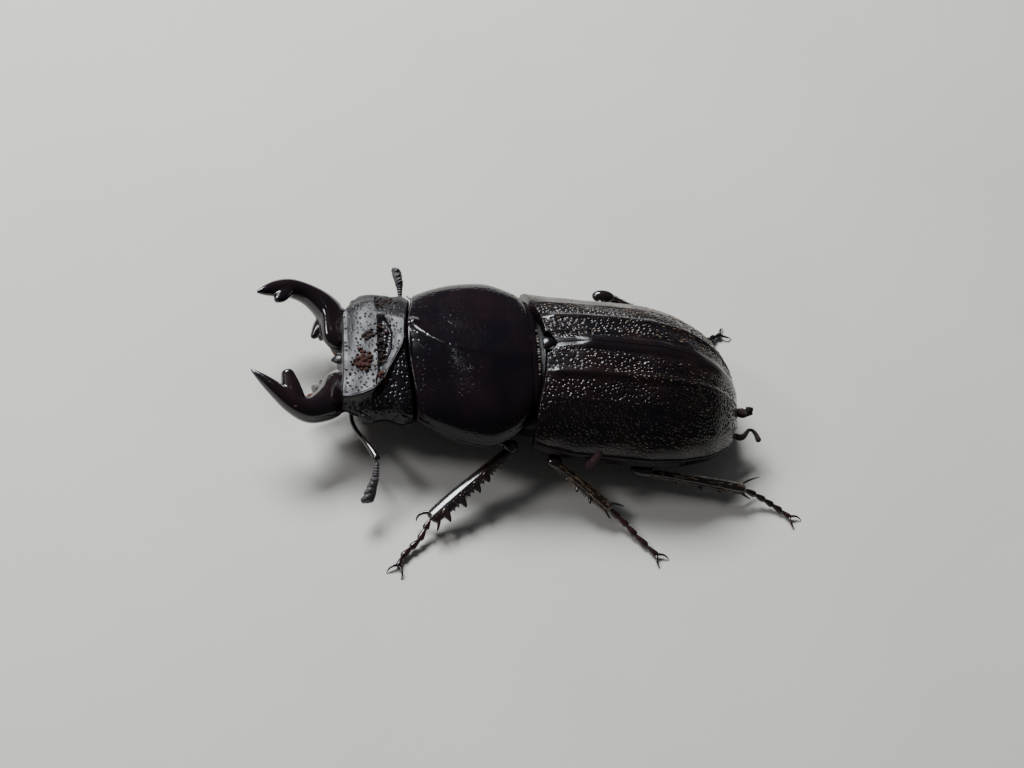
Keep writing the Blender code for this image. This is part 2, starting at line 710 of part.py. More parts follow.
def make_hind_body(shell, cutters):
    """The hind part of the thorax and the abdomen, parted by a thin cut. The belly plates show as grooves."""
    waist = share_at(WAIST_X)
    front = [(waist * k / METATHORAX_STEPS, 0.0) for k in range(METATHORAX_STEPS + 1)]
    add_part("metathorax", shell, belly_body(front, NECK_LENGTH), cutters=cutters)
    start = share_at(WAIST_X + GAP)
    plate = (ABDOMEN_LAST_SHARE - start) / BELLY_PLATES
    rear = []
    for k in range(BELLY_PLATES):
        rear.append((start + plate * k, GROOVE_DEPTH if k else 0.0))
        rear.append((start + plate * (k + 0.2), 0.0))
        rear.append((start + plate * (k + 0.6), 0.0))
    rear.append((ABDOMEN_LAST_SHARE, GROOVE_DEPTH))
    add_part("abdomen", shell, belly_body(rear, 0.0), cutters=cutters)


# Legs

def between(start, end, share):
    return start + (end - start) * share


def limb_rows(start, end, radii, flatness):
    """Rows of a straight limb from start to end."""
    rows = []
    for k, radius in enumerate(radii):
        place = between(start, end, k / (len(radii) - 1))
        rows.append((*place, radius, max(radius * flatness, LIMB_RADIUS)))
    return rows


def leg_joints(name):
    """The side of a leg, and the places of its hip, knee and ankle."""
    side, coxa, knee, ankle, path = LEG_PATHS[name]
    return side, [Vector((x, side * y, z)) for x, y, z in (coxa, knee, ankle)]


def knee_clearance(coxa, knee, ankle):
    """How far short of the knee both limbs stop, so that they keep a gap at the angle they meet at."""
    half_angle = (coxa - knee).angle(ankle - knee) / 2
    bent = (GAP / 2 + KNEE_RADIUS * cos(half_angle)) / sin(half_angle)
    return max(bent, GAP / 2 + END_BULGE * KNEE_RADIUS)


def femur_rows(name):
    side, (coxa, knee, ankle) = leg_joints(name)
    end = knee - (knee - coxa).normalized() * knee_clearance(coxa, knee, ankle)
    return smooth_rows(limb_rows(coxa, end, FEMUR_RADII, FEMUR_FLATNESS), FEMUR_STEPS)


def tibia_rows(name):
    side, (coxa, knee, ankle) = leg_joints(name)
    kind = name.split("_")[0]
    down = (ankle - knee).normalized()
    start = knee + down * knee_clearance(coxa, knee, ankle)
    end = ankle - down * ANKLE_BACK
    return smooth_rows(limb_rows(start, end, TIBIA_RADII[kind], TIBIA_FLATNESS[kind]), TIBIA_STEPS)


def coxa_ball(name, growth):
    coxa = leg_joints(name)[1][0]
    return ball(coxa, [radius + growth for radius in COXA_RADII], 10, 6)


def leg_sockets(names):
    """What the body is cut by, so that the roots of these legs lie in it with a gap."""
    cutters = []
    for name in names:
        cutters.append(coxa_ball(name, GAP))
        cutters.append(tube(widened(femur_rows(name), GAP), LIMB_SIDES))
    return cutters


def tibia_grooves(names):
    """What the body is cut by, so that it keeps a gap to these tibiae."""
    return [tube(widened(tibia_rows(name), GAP), LIMB_SIDES) for name in names]


def make_leg(name, shell):
    side, (coxa, knee, ankle) = leg_joints(name)
    kind = name.split("_")[0]
    add_part("femur_" + name, shell, tube(femur_rows(name), LIMB_SIDES), grown=[coxa_ball(name, 0.0)])
    rows = tibia_rows(name)
    top = Vector(rows[0][:3])
    end = Vector(rows[-1][:3])
    down = (end - top).normalized()
    outer = down.cross(UP).normalized()
    if outer.y * side < 0:
        outer = -outer
    grown = []
    for share, length in TIBIA_TEETH[kind]:
        radius = rows[round(share * TIBIA_STEPS)][3]
        root = between(top, end, share) + outer * radius * 0.5
        tip = root + outer * (radius * 0.5 + length) + down * length * TOOTH_SLANT
        grown.append(spine(root, tip, TOOTH_RADIUS))
    for turn, length in zip((-1, 1), TIBIA_SPURS[kind]):
        offset = turn * (rows[-1][3] - 0.5 * SPUR_RADIUS)
        root = end + outer * offset - down * SPUR_SET_BACK
        tip = root + down * length + outer * turn * length * SPUR_SPREAD
        grown.append(spine(root, tip, SPUR_RADIUS))
    add_part("tibia_" + name, shell, tube(rows, LIMB_SIDES), grown=grown)
    make_foot(name, side, ankle, LEG_PATHS[name][-1], shell)


def make_foot(name, side, ankle, path, shell):
    """Five joints, each wider at its far end, and two claws; the soles are flat on the floor."""
    stops = [(ankle.x, ankle.y, ankle.z)] + [(x, side * y, z) for x, y, z in path]
    rows = []
    for k in range(TARSUS_JOINTS):
        start = Vector(stops[k])
        end = Vector(stops[k + 1])
        share = TARSUS_NARROW_SHARE if k else ANKLE_AHEAD / (end - start).length
        rows.append((*between(start, end, share), TARSUS_NARROW, TARSUS_NARROW))
        rows.append((*between(start, end, TARSUS_WIDE_SHARE), TARSUS_WIDE, TARSUS_WIDE))
    rows.append((*stops[-1], TARSUS_NARROW, TARSUS_NARROW))
    toe = Vector(stops[-1])
    ahead = toe - Vector(stops[-2])
    ahead.z = 0
    ahead.normalize()
    aside = ahead.cross(UP)
    claws = []
    for turn in (-1, 1):
        root = toe - ahead * 0.1
        tip = toe + ahead * CLAW_LENGTH + aside * turn * CLAW_SPREAD
        tip.z = POINT_RADIUS
        bend = aside * turn * 0.08 + UP * 0.08
        claws.append(spine(root, tip, CLAW_RADIUS, bend))
    add_part("tarsus_" + name, shell, tube(rows, TARSUS_SIDES), grown=claws)


# The whole beetle

def make_scutellum(shell):
    """The small plate between the roots of the wing cases."""
    front = ELYTRA_FRONT
    top = elytra_size(0.0, 0.0)[2]
    rows = (
        (front, 0.0, top - 0.26, 0.44, 0.26),
        (front + 0.25, 0.0, top - 0.22, 0.34, 0.26),
        (front + 0.5, 0.0, top - 0.20, 0.12, 0.2),
    )
    add_part("scutellum", shell, tube(rows, 8))


def main():
    for piece in list(bpy.data.objects):
        bpy.data.objects.remove(piece)
    shell = make_material("black horn", BLACK)
    leg_shell = make_material("brown black horn", BROWN_BLACK)
    eye_shell = make_material("eye", EYE_COLOUR)
    make_head(shell, eye_shell)
    fore_legs = [name for name in LEG_PATHS if name.startswith("fore")]
    hind_legs = [name for name in LEG_PATHS if name not in fore_legs]
    make_prothorax(shell, leg_sockets(fore_legs) + tibia_grooves(fore_legs))
    make_mandible("left", LEFT, LEFT_MANDIBLE_ROWS, LEFT_TOOTH_ROWS, shell)
    make_mandible("right", RIGHT, RIGHT_MANDIBLE_ROWS, RIGHT_TOOTH_ROWS, shell)
    make_feeler("left", LEFT, LEFT_SCAPE_ROWS, LEFT_CLUB_ROWS, leg_shell)
    make_feeler("right", RIGHT, RIGHT_SCAPE_ROWS, RIGHT_CLUB_ROWS, leg_shell)
    make_scutellum(shell)
    make_elytron("left", LEFT, shell)
    make_elytron("right", RIGHT, shell)
    make_hind_body(leg_shell, leg_sockets(hind_legs) + tibia_grooves(hind_legs))
    for name in LEG_PATHS:
        make_leg(name, leg_shell)


main()
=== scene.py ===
# Looks of the mount mangana stag beetle: fine forms, materials, floor, light and camera.
#
# All sizes are in millimetres on the body's own axes, as in the part's source: the head points to -X, the
# left side to -Y, the floor is z = 0, and x = 0 lies under the middle of the prothorax.
#
# A span or an end is the pair of values between which a form comes in or fades away. A span of four
# values comes in between the first two and fades away between the last two. Pairs of places, lengths,
# sizes, rises, growth or swelling are the least value and what is added to it at most. Pairs of sizes in
# the tables of crumbs are the least and the largest.

from collections import namedtuple
from math import cos, pi, radians, sin

import bpy
import numpy as np
from mathutils import Matrix, Vector


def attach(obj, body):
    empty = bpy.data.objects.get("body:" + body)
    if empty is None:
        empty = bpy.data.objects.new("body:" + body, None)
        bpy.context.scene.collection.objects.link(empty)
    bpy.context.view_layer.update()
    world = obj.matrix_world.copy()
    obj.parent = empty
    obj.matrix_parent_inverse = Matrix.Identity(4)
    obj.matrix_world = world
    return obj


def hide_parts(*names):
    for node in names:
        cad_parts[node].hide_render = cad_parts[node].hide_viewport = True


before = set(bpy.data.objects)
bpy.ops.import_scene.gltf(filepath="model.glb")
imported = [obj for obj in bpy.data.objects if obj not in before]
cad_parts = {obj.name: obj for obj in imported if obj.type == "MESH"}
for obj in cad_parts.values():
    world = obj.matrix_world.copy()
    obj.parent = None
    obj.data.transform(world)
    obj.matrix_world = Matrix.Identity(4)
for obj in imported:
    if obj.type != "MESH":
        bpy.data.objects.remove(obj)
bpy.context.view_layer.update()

# Frame
MM = 0.001
BODY_SHIFT = np.array((-2.311, 2.288, 0.0))
LEFT = -1
RIGHT = 1
SIDES = ((LEFT, "left"), (RIGHT, "right"))
UP = np.array((0.0, 0.0, 1.0))
ROOT = "root"

# Camera
CAMERA_AZIMUTH = -21.29
CAMERA_ELEVATION = 49.60
CAMERA_ROLL = 21.96
CAMERA_DISTANCE = 108.45
CAMERA_TARGET = np.array((0.926, -0.895, 3.0))
SENSOR_WIDTH = 36.0
LENS = 67.57

# Profile rows of the head and of the prothorax: x, half width, top, height of the side edge, bottom
HEAD_ROWS = (
    (-8.75, 3.75, 4.15, 2.95, 1.95),
    (-8.15, 4.10, 4.50, 2.98, 1.60),
    (-7.45, 4.42, 4.85, 3.02, 1.35),
    (-6.75, 4.32, 5.15, 3.06, 1.20),
    (-6.15, 4.58, 5.30, 3.10, 1.10),
    (-5.76, 4.36, 5.30, 3.14, 1.10),
)
HEAD_STEPS = 130
HEAD_SIDES = 520
HEAD_FRONT_CURVE = -0.16
HEAD_CORNER_ROUNDING = 0.75
HEAD_CORNER_SPAN = (0.50, 1.0)
NEAR_CORNER_ROUNDING = 0.10
NEAR_CORNER_SPAN = (0.88, 1.0)
FAR_CHEEK_NARROWING = 0.07
FAR_CHEEK_SPAN = (-7.6, -6.6)
PROTHORAX_ROWS = (
    (-5.40, 4.36, 5.34, 3.30, 1.45),
    (-4.40, 4.80, 5.60, 3.20, 1.15),
    (-2.90, 5.30, 5.86, 3.12, 1.00),
    (-1.10, 5.52, 6.00, 3.22, 0.95),
    (0.25, 5.02, 5.95, 3.60, 1.15),
    (1.10, 4.36, 5.82, 4.05, 1.45),
    (1.80, 3.62, 5.55, 4.15, 1.95),
)
PROTHORAX_STEPS = 150
PROTHORAX_SIDES = 420
COLLAR_CURVE = 0.75
UNDERSIDE_TAPER = 3.0
END_ROUNDING = ((0.06, 0.996), (0.11, 0.975), (0.14, 0.93))

# Fullness of the top of the cross-sections: each x, and the value that holds there
HEAD_FULLNESS = ((-8.75, -7.0, -5.8), (0.58, 0.72, 1.05))
PROTHORAX_FULLNESS = ((0.0,), (0.9,))

# Relief of the head: the hollow behind the front plate, the ridge along the plate's left side, the pits.
# A row of pits is their spacing, their radius, the share of places that has one, and the seed.
# A row of waves is how fast they turn along x, how fast along y, and where they start.
HEAD_UPPER_SPAN = (0.0, 0.35)
HOLLOW_DEPTH = 0.30
HOLLOW_WALL = 0.08
HOLLOW_FRONT = -7.12
HOLLOW_FRONT_SLOPE = 2.5
HOLLOW_FAR_END = (1.2, 1.8)
HOLLOW_NEAR_END = (2.1, 3.0)
HOLLOW_LUMPS = 0.15
LUMP_WAVES = ((9.1, 5.3, 0.0), (-4.1, 7.7, 1.3))
SOFT_WAVES = ((2.9, 1.3, 0.4), (-1.7, 2.3, 2.1))
SOFT_DEPTH = 0.035
HOLLOW_REAR_Y = (-2.9, -2.0, -1.5, -0.9, 0.25, 1.1, 1.7)
HOLLOW_REAR_X = (-7.25, -7.00, -6.65, -6.42, -6.35, -6.60, -6.95)
RIDGE_X = (-9.2, -8.5, -7.9, -7.35, -6.78, -6.27, -5.9, -5.6)
RIDGE_Y = (-3.60, -3.72, -3.70, -3.50, -2.76, -1.65, -0.80, 0.30)
RIDGE_HEIGHT = 0.10
RIDGE_WIDTH = 0.13
STEP_DOWN = 0.10
STEP_SPAN = (-0.05, 0.22)
STEP_RISE_SPAN = (-0.2, 0.1)
BAND_RISE = 0.16
BAND_LENGTH = 0.6
BAND_MIDDLE = 0.7
BAND_EDGE = 0.05
BAND_NEAR_END = (0.0, 0.3)
BAND_FAR_END = (1.0, 1.8)
PLATE_PITS = (0.27, 0.052, 0.75, 3.0)
PLATE_PIT_DEPTH = 0.05
PLATE_PIT_SPAN = (0.0, 0.1)
PLATE_LIFT = 0.95
PLATE_DOMING = 0.009
PLATE_NEAR_END = (-0.14, 0.10)
PLATE_FAR_END = (2.6, 3.3)
PLATE_REAR_END = (-6.9, -6.0)
PLATE_CORNER_X_SPAN = (-7.3, -6.9)
PLATE_CORNER_Y_SPAN = (1.2, 2.0)
SIDE_PITS = (0.30, 0.105, 0.9, 8.0)
SIDE_PIT_DEPTH = 0.06
SIDE_PIT_LEAST = 0.2
SIDE_PIT_SPAN = (-0.1, 0.0)
SIDE_PIT_RISE_SPAN = (0.05, 0.35)
FRONT_RIM_HEIGHT = 0.02
FRONT_RIM_WIDTH = 0.07
PIT_SCATTER = 0.85
PIT_SIZES = (0.7, 0.5)
PIT_WALL = (0.45, 1.05)
NO_PIT = 9.0

# Relief of the prothorax. A fold is its height, its middle and its width.
PRONOTUM_UPPER_SPAN = (0.0, 0.4)
TUBERCLE_PLACE = (-5.12, 1.02)
TUBERCLE_RADIUS = 0.26
TUBERCLE_HEIGHT = 0.15
CREASE_X = (-5.6, -5.3, -4.8, -4.23, -3.7, -3.14, -2.0, 0.04, 1.5)
CREASE_Y = (1.0, 0.80, 0.25, -0.30, -0.65, -0.87, -1.05, -1.19, -1.25)
CREASE_STRENGTH_X = (-5.6, -5.3, -3.6, -2.0, 0.2, 1.0)
CREASE_STRENGTH = (0.0, 1.0, 1.0, 0.65, 0.5, 0.0)
CREASE_SLOPE = 0.26
CREASE_WIDTH = 0.075
CREASE_REACH = 1.6
CREASE_LIFT = 0.10
CREASE_SIDE_END = (2.6, 5.0)
DUST_PITS = (0.36, 0.05, 0.7, 15.0)
DUST_PIT_DEPTH = 0.03
REAR_FOLDS = ((0.05, 0.12, 0.10), (-0.04, 0.38, 0.08))
SIDE_FOLD = (0.06, 0.05, 0.10)
SIDE_FOLD_SPAN = (3.0, 4.0)
FRINGE_COUNT = 44
FRINGE_PLACES = (0.20, 0.14)
FRINGE_LENGTHS = (0.10, 0.08)
FRINGE_SHIFT = (0.02, 0.0, 0.0)
FRINGE_LIE = (1.0, 0.0, 0.1)
FRINGE_DISORDER = 0.25

# Wing cases
ELYTRA_FRONT = 2.25
ELYTRA_WIDEST = 8.1
ELYTRA_REAR = 14.9
ELYTRA_HALF_WIDTH = 5.5
SHOULDER_NARROWING = 0.15
SHOULDER_AHEAD = 0.40
SHOULDER_SLANT = 0.12
SHOULDER_CURVE_SPAN = (0.1, 0.6)
SHOULDER_POWER = 2.2
SHOULDER_AHEAD_SHARE = 0.22
ELYTRA_HEIGHT = 6.48
ELYTRA_HIGHEST = 6.0
ELYTRA_FRONT_DROP = 0.48
ELYTRA_MIDDLE_DROP = 0.08
ELYTRA_EDGE = 2.4
SHOULDER_LIFT = 0.55
SHOULDER_LIFT_END = 5.0
SHOULDER_LIFT_LENGTH = 2.45
REAR_EDGE_DROP = 0.8
REAR_DROP_START = 9.0
REAR_DROP_LENGTH = 6.0
ELYTRA_SQUARENESS = 1.05
ELYTRA_PLAN_ROUNDNESS = 0.82
ELYTRA_PROFILE_ROUNDNESS = 1.28
ELYTRA_FRONT_SHARE = 0.45
ELYTRA_LAST_ANGLE = 0.455 * pi
ELYTRA_FULL_ANGLE = 0.4985 * pi
ELYTRA_LAST_SHARE = 1.088
ELYTRA_THICKNESS = 0.5
ELYTRA_STEPS = 330
ELYTRA_COLUMNS = 270
LIP_INSETS = (0.06, 0.18, 0.34, 0.50)
SUTURE_GAP = 0.02
SUTURE_RIDGE = 0.06
SUTURE_WIDTH = 0.07
SUTURE_REAR_WIDTH = 0.10
SUTURE_WIDENING_SPAN = (0.1, 0.6)
SUTURE_SPAN = (0.1, 0.2, 0.9, 1.05)
GROOVE_PLACE = 0.075
GROOVE_WIDTH = 0.022
GROOVE_DEPTH = 0.055
GROOVE_SPAN = (0.02, 0.06, 0.35, 0.8)
RIB_PLACES = (0.25, 0.45, 0.66)
RIB_HEIGHTS = (0.115, 0.03, 0.02)
RIB_WIDTH = 0.03
RIB_SPAN = (0.0, 0.06, 0.75, 1.0)
FIRST_BAND_SHIFT = 0.01
FIRST_BAND_LOSS = 0.7
FIRST_BAND_FADING_SPAN = (0.2, 0.4)
SECOND_BAND = 0.6
SECOND_BAND_FADING_SPAN = (0.3, 0.5)
RIM_PLACE = 0.9
RIM_WIDTH = 0.018
RIM_HEIGHT = 0.07
RIM_FADING_SPAN = (0.8, 1.0)
RIM_BAND_WIDTH = 0.03
NOTCH_DEPTH = 0.62
NOTCH_SHARE = 0.10
NOTCH_LENGTH = 0.2
EDGE_FALL = 0.05
WING_WAVES = ((2.3, 1.7, 0.0), (-0.7, 1.9, 0.0))
WING_WAVE_HEIGHT = 0.02
WING_PITS = {LEFT: (0.225, 0.076, 0.86, 11.0), RIGHT: (0.225, 0.076, 0.86, 23.0)}
WING_PIT_DEPTH = 0.06
WING_PIT_FADING_SPAN = {LEFT: (0.55, 0.75), RIGHT: (0.28, 0.50)}
WING_PIT_LOSS = 0.85
OPEN_PIT = 0.4

# Hind body
BELLY_INSET = ELYTRA_THICKNESS + 0.12
BELLY_BOTTOM = 1.0
BELLY_TIP_BOTTOM = 1.6
BELLY_RIM_GAP = 0.12
BELLY_FLARE_INSET = 0.22
BELLY_FLARE_SPAN = (2.2, 3.2)
BELLY_ROUNDNESS = 1.1
BELLY_LAST_SHARE = 1.02
WAIST_X = 7.35
WAIST_OVERLAP = 0.1
CHEST_STEPS = 90
CHEST_UNDERSIDE_SPAN = (0.2, 0.6)
CHEST_FOLD = (0.10, 0.0, 0.08)
CHEST_CROSS_FOLD = (0.06, 5.2, 0.07)
CHEST_CROSS_SLANT = 0.1
ABDOMEN_STEPS = 170
BELLY_PLATES = 5
PLATE_STEP = 0.11
PLATE_STEP_LENGTH = 0.07
NECK_PUSHES = (0.9, 0.12)
NECK_SHARE = 0.9

# Scutellum: x from the front of the wing cases, drop below their top, half width, half height
SCUTELLUM_ROWS = (
    (-0.12, 0.18, 0.42, 0.16),
    (0.10, 0.11, 0.40, 0.17),
    (0.32, 0.09, 0.26, 0.15),
    (0.52, 0.10, 0.07, 0.08),
)

# Mandibles: x, distance from the middle plane, z, half width, half height
LEFT_MANDIBLE_ROWS = (
    (-8.30, 2.25, 2.66, 1.20, 0.56),
    (-9.10, 2.50, 2.72, 1.34, 0.66),
    (-9.75, 3.35, 2.88, 1.05, 0.80),
    (-10.70, 4.12, 3.15, 0.72, 0.70),
    (-11.75, 4.02, 3.58, 0.58, 0.58),
    (-12.75, 3.46, 3.98, 0.44, 0.44),
    (-13.45, 3.00, 4.18, 0.26, 0.27),
    (-13.98, 2.62, 4.30, 0.07, 0.07),
)
RIGHT_MANDIBLE_ROWS = (
    (-8.30, 2.15, 2.66, 1.30, 0.56),
    (-9.10, 2.34, 2.72, 1.50, 0.66),
    (-9.75, 3.36, 2.90, 0.92, 0.80),
    (-10.70, 3.90, 3.25, 0.60, 0.66),
    (-11.75, 3.88, 3.68, 0.54, 0.56),
    (-12.65, 3.48, 4.00, 0.48, 0.44),
    (-13.30, 3.08, 4.22, 0.28, 0.28),
    (-13.72, 2.80, 4.36, 0.07, 0.07),
)
LEFT_TOOTH_ROWS = (
    (-11.64, 3.80, 3.62, 0.74, 0.50),
    (-11.80, 3.02, 3.88, 0.52, 0.44),
    (-11.98, 2.46, 4.08, 0.36, 0.33),
)
RIGHT_TOOTH_ROWS = (
    (-12.10, 3.60, 3.85, 0.55, 0.40),
    (-12.35, 2.95, 4.00, 0.42, 0.32),
    (-12.56, 2.56, 4.15, 0.20, 0.20),
)
BASAL_TOOTH_ROWS = (
    (-9.55, 2.70, 2.55, 0.60, 0.50),
    (-9.95, 2.15, 2.32, 0.42, 0.36),
    (-10.25, 1.76, 2.18, 0.17, 0.15),
)
SECOND_BASAL_ROWS = (
    (-9.35, 2.30, 2.50, 0.45, 0.40),
    (-9.66, 1.80, 2.42, 0.32, 0.28),
    (-9.85, 1.50, 2.38, 0.15, 0.14),
)
LAMELLA_ROWS = (
    (-8.80, 0.75, 2.42, 0.26, 0.07),
    (-9.20, 1.25, 2.46, 0.36, 0.08),
    (-9.62, 1.90, 2.50, 0.34, 0.08),
    (-9.98, 2.55, 2.55, 0.20, 0.07),
)
MANDIBLE_LEAN = (-1.8, 0.0, 0.0)
MANDIBLE_VOXEL = 0.05
MANDIBLE_SMOOTHING = 6

# Mouth, eyes and feelers
PALP_STEPS = 30
PALP_PINCH = 0.28
PALP_PINCHES = 3
LABRUM_ROWS = (
    (-8.60, 0.0, 2.70, 0.40, 0.20),
    (-9.00, 0.0, 2.60, 0.30, 0.15),
    (-9.22, 0.0, 2.48, 0.12, 0.08),
)
LEFT_PALP_ROWS = (
    (-7.75, 0.95, 1.92, 0.18, 0.18),
    (-8.50, 1.10, 1.26, 0.20, 0.20),
    (-9.30, 1.45, 1.28, 0.22, 0.22),
    (-10.00, 1.78, 1.38, 0.20, 0.20),
    (-10.45, 1.98, 1.55, 0.15, 0.15),
)
RIGHT_PALP_ROWS = (
    (-7.75, 0.95, 1.92, 0.18, 0.18),
    (-8.50, 1.30, 1.26, 0.20, 0.20),
    (-9.00, 2.20, 1.22, 0.22, 0.22),
    (-9.20, 3.10, 1.24, 0.16, 0.16),
)
EYE_CENTRE = (-7.38, 3.92, 2.92)
EYE_RADII = (0.62, 0.52, 0.50)
EYE_SIDES = 200
EYE_RINGS = 110
FACET_TURNS = 30.0
FACET_HEIGHT = 0.012
LEFT_SCAPE_ROWS = (
    (-8.10, 3.00, 1.72, 0.12, 0.12),
    (-8.03, 3.70, 1.76, 0.13, 0.13),
    (-7.74, 4.50, 1.92, 0.14, 0.14),
    (-7.27, 5.45, 2.20, 0.17, 0.17),
    (-6.88, 6.32, 2.30, 0.22, 0.22),
)
RIGHT_SCAPE_ROWS = (
    (-8.10, 3.00, 1.72, 0.12, 0.12),
    (-8.03, 3.60, 1.75, 0.13, 0.13),
    (-7.20, 4.45, 1.78, 0.14, 0.14),
    (-6.20, 4.85, 1.98, 0.17, 0.17),
    (-5.24, 5.02, 2.28, 0.22, 0.22),
)
LEFT_CLUB_PATH = ((-6.84, 6.52, 2.26), (-6.86, 7.05, 2.04), (-6.96, 7.60, 1.82), (-7.20, 8.55, 1.46))
RIGHT_CLUB_PATH = ((-5.16, 5.20, 2.36), (-5.20, 5.70, 2.52), (-5.26, 6.05, 2.63), (-5.42, 6.78, 2.80))
FUNICLE_BEADS = 6
FUNICLE_RADIUS = 0.13
FUNICLE_GROWTH = 0.12
FUNICLE_END = 30
CLUB_STEPS = 60
CLUB_STEM = ((28, 0.13), (36, 0.18), (44, 0.24), (52, 0.29), (58, 0.27))
CLUB_FLATNESS = 0.8
LAMELLAE = 4
LAMELLA_PLACES = (36, 19)
LAMELLA_GROWTH = (0.45, 0.75)
LAMELLA_SIZE = 0.22
LAMELLA_SWELLING = (0.85, 0.30)
LAMELLA_HEIGHT = 1.2
LAMELLA_SINK = 0.05
LAMELLA_DROP = 0.16
LAMELLA_POINTS = 7
LAMELLA_REACH = {"left": 0.25, "right": 0.12}

# Legs: the side, the places of the hip, knee and ankle, and the path of the foot.
# Each place is x, the distance from the middle plane, and z.
LEG_PATHS = {
    "fore_left": (LEFT, (-1.90, 1.50, 0.90), (0.78, 4.98, 2.50), (-3.75, 9.10, 0.85), (
        (-3.97, 9.52, 0.62), (-4.25, 10.10, 0.42), (-4.72, 10.60, 0.30),
        (-5.20, 11.15, 0.22), (-5.45, 11.75, 0.20))),
    "mid_left": (LEFT, (3.90, 1.70, 0.90), (3.22, 5.59, 2.20), (6.59, 7.45, 0.95), (
        (7.20, 7.76, 0.62), (7.68, 8.15, 0.44), (8.16, 8.65, 0.30),
        (8.77, 9.25, 0.22), (9.35, 9.85, 0.20))),
    "hind_left": (LEFT, (6.40, 1.60, 0.90), (8.70, 5.25, 1.65), (14.85, 5.45, 1.05), (
        (15.65, 5.50, 0.72), (16.25, 5.65, 0.50), (16.80, 5.85, 0.32),
        (17.30, 6.12, 0.22), (17.85, 6.55, 0.20))),
    "fore_right": (RIGHT, (-1.90, 1.50, 0.90), (0.75, 4.95, 2.30), (-4.35, 5.75, 0.85), (
        (-4.90, 5.95, 0.60), (-5.42, 6.05, 0.42), (-5.95, 6.02, 0.30),
        (-6.52, 5.88, 0.22), (-7.10, 5.68, 0.20))),
    "mid_right": (RIGHT, (3.90, 1.70, 0.90), (2.60, 5.75, 2.05), (5.30, 6.70, 0.90), (
        (5.88, 7.05, 0.62), (6.36, 7.28, 0.44), (6.86, 7.42, 0.30),
        (7.46, 7.50, 0.22), (8.08, 7.48, 0.20))),
    "hind_right": (RIGHT, (6.40, 1.60, 0.90), (7.45, 7.32, 2.10), (12.85, 5.50, 1.00), (
        (13.62, 5.48, 0.72), (14.14, 5.78, 0.50), (14.58, 6.12, 0.32),
        (15.02, 6.46, 0.22), (15.50, 6.74, 0.20))),
}
COXA_RADII = (0.62, 0.80, 0.48)
FEMUR_RADII = (0.34, 0.52, 0.58, 0.52, 0.40, 0.32)
FEMUR_FLATNESS = 0.72
TIBIA_RADII = {
    "fore": (0.26, 0.32, 0.37, 0.41, 0.45, 0.48, 0.45),
    "mid": (0.25, 0.24, 0.27, 0.30, 0.32, 0.34, 0.32),
    "hind": (0.26, 0.25, 0.28, 0.31, 0.33, 0.36, 0.34),
}
TIBIA_FLATNESS = {"fore": 0.55, "mid": 0.80, "hind": 0.80}
TIBIA_RIDGES = {"fore": 0.02, "mid": 0.08, "hind": 0.08}
KNEE_RADII = {"fore": (0.44, 0.42, 0.38), "mid": (0.46, 0.42, 0.34), "hind": (0.72, 0.42, 0.38)}
TIBIA_SHORTENING = {"fore": 0.26, "mid": 0.12, "hind": 0.12}
TOOTH_WIDTH = {"fore": 0.28, "mid": 0.18, "hind": 0.18}
FORE_TIBIA_ROLL = 11.0
SPUR_RADIUS = {"fore": 0.12, "mid": 0.085, "hind": 0.085}
BEAD_ROWS = (22.0, 42.0, 128.0)
BEADS = 26
BEAD_RADIUS = 0.04
TIBIA_TEETH = {
    "fore": ((0.12, 0.06), (0.17, 0.08), (0.22, 0.14), (0.27, 0.08), (0.31, 0.10),
             (0.37, 0.27), (0.43, 0.12), (0.50, 0.36), (0.56, 0.10), (0.61, 0.12),
             (0.69, 0.44), (0.76, 0.12), (0.81, 0.12), (0.89, 0.46)),
    "mid": ((0.25, 0.14), (0.45, 0.28), (0.60, 0.16), (0.70, 0.32)),
    "hind": ((0.30, 0.12), (0.55, 0.26), (0.75, 0.16)),
}
TOOTH_SLANT = 0.45
TIBIA_SPURS = {"fore": (0.95, 0.80), "mid": (0.95, 0.55), "hind": (1.40, 0.60)}
SPUR_SPREAD = {"fore": 0.15, "mid": 0.6, "hind": 0.6}
SPUR_BOW = {"fore": 0.26, "mid": 0.06, "hind": 0.06}
CLAW_LENGTH = 0.62
CLAW_SPREAD = 0.42
CLAW_RADIUS = 0.085
CLAW_HEIGHT = 0.025
CLAW_ROOT = (0.05, 0.04)
CLAW_STRETCH = 0.95
CLAW_BEND = (0.02, 0.10, 0.09)
LIMB_SIDES = 24
RIDGE_COUNT = 7
LEG_VOXEL = 0.05
LEG_SMOOTHING = 4
FEMUR_SHORTENING = 0.12
KNEE_SETBACK = 0.16
TIBIA_START = 0.10
TIBIA_BOW = 0.05
KNOB_PLACE = 0.14
KNOB_RADII = (0.27, 0.27, 0.27)
TOOTH_ROOT = 0.45
LARGE_TOOTH = 0.25
SMALL_TOOTH_WIDTH = 0.12
SPUR_INSET = 0.1
SPUR_STRETCH = 0.95
FORE_SPUR = (0.7, 0.55)
FORE_SPUR_BOW = 0.05
TOOTH_BOW = (0.04, 0.02)
BEAD_PLACES = (0.10, 0.86)
BEAD_SCATTER = 0.3

# Joints of a foot: rows of share of the joint's length, half width and half height, in radii of the joint
TARSUS_SHAPE = ((0.35, 0.72, 0.72), (0.80, 1.0, 0.92), (0.97, 0.80, 0.80))
TARSUS_WAIST = (0.075, 0.075, 0.075, 0.075, 0.07)
TARSUS_RADII = (0.20, 0.20, 0.20, 0.20, 0.17)
TARSUS_OVERLAP = 0.03

# Rounded tips: shares of a quarter turn
DOME_TURNS = (0.35, 0.6, 0.8, 0.95)

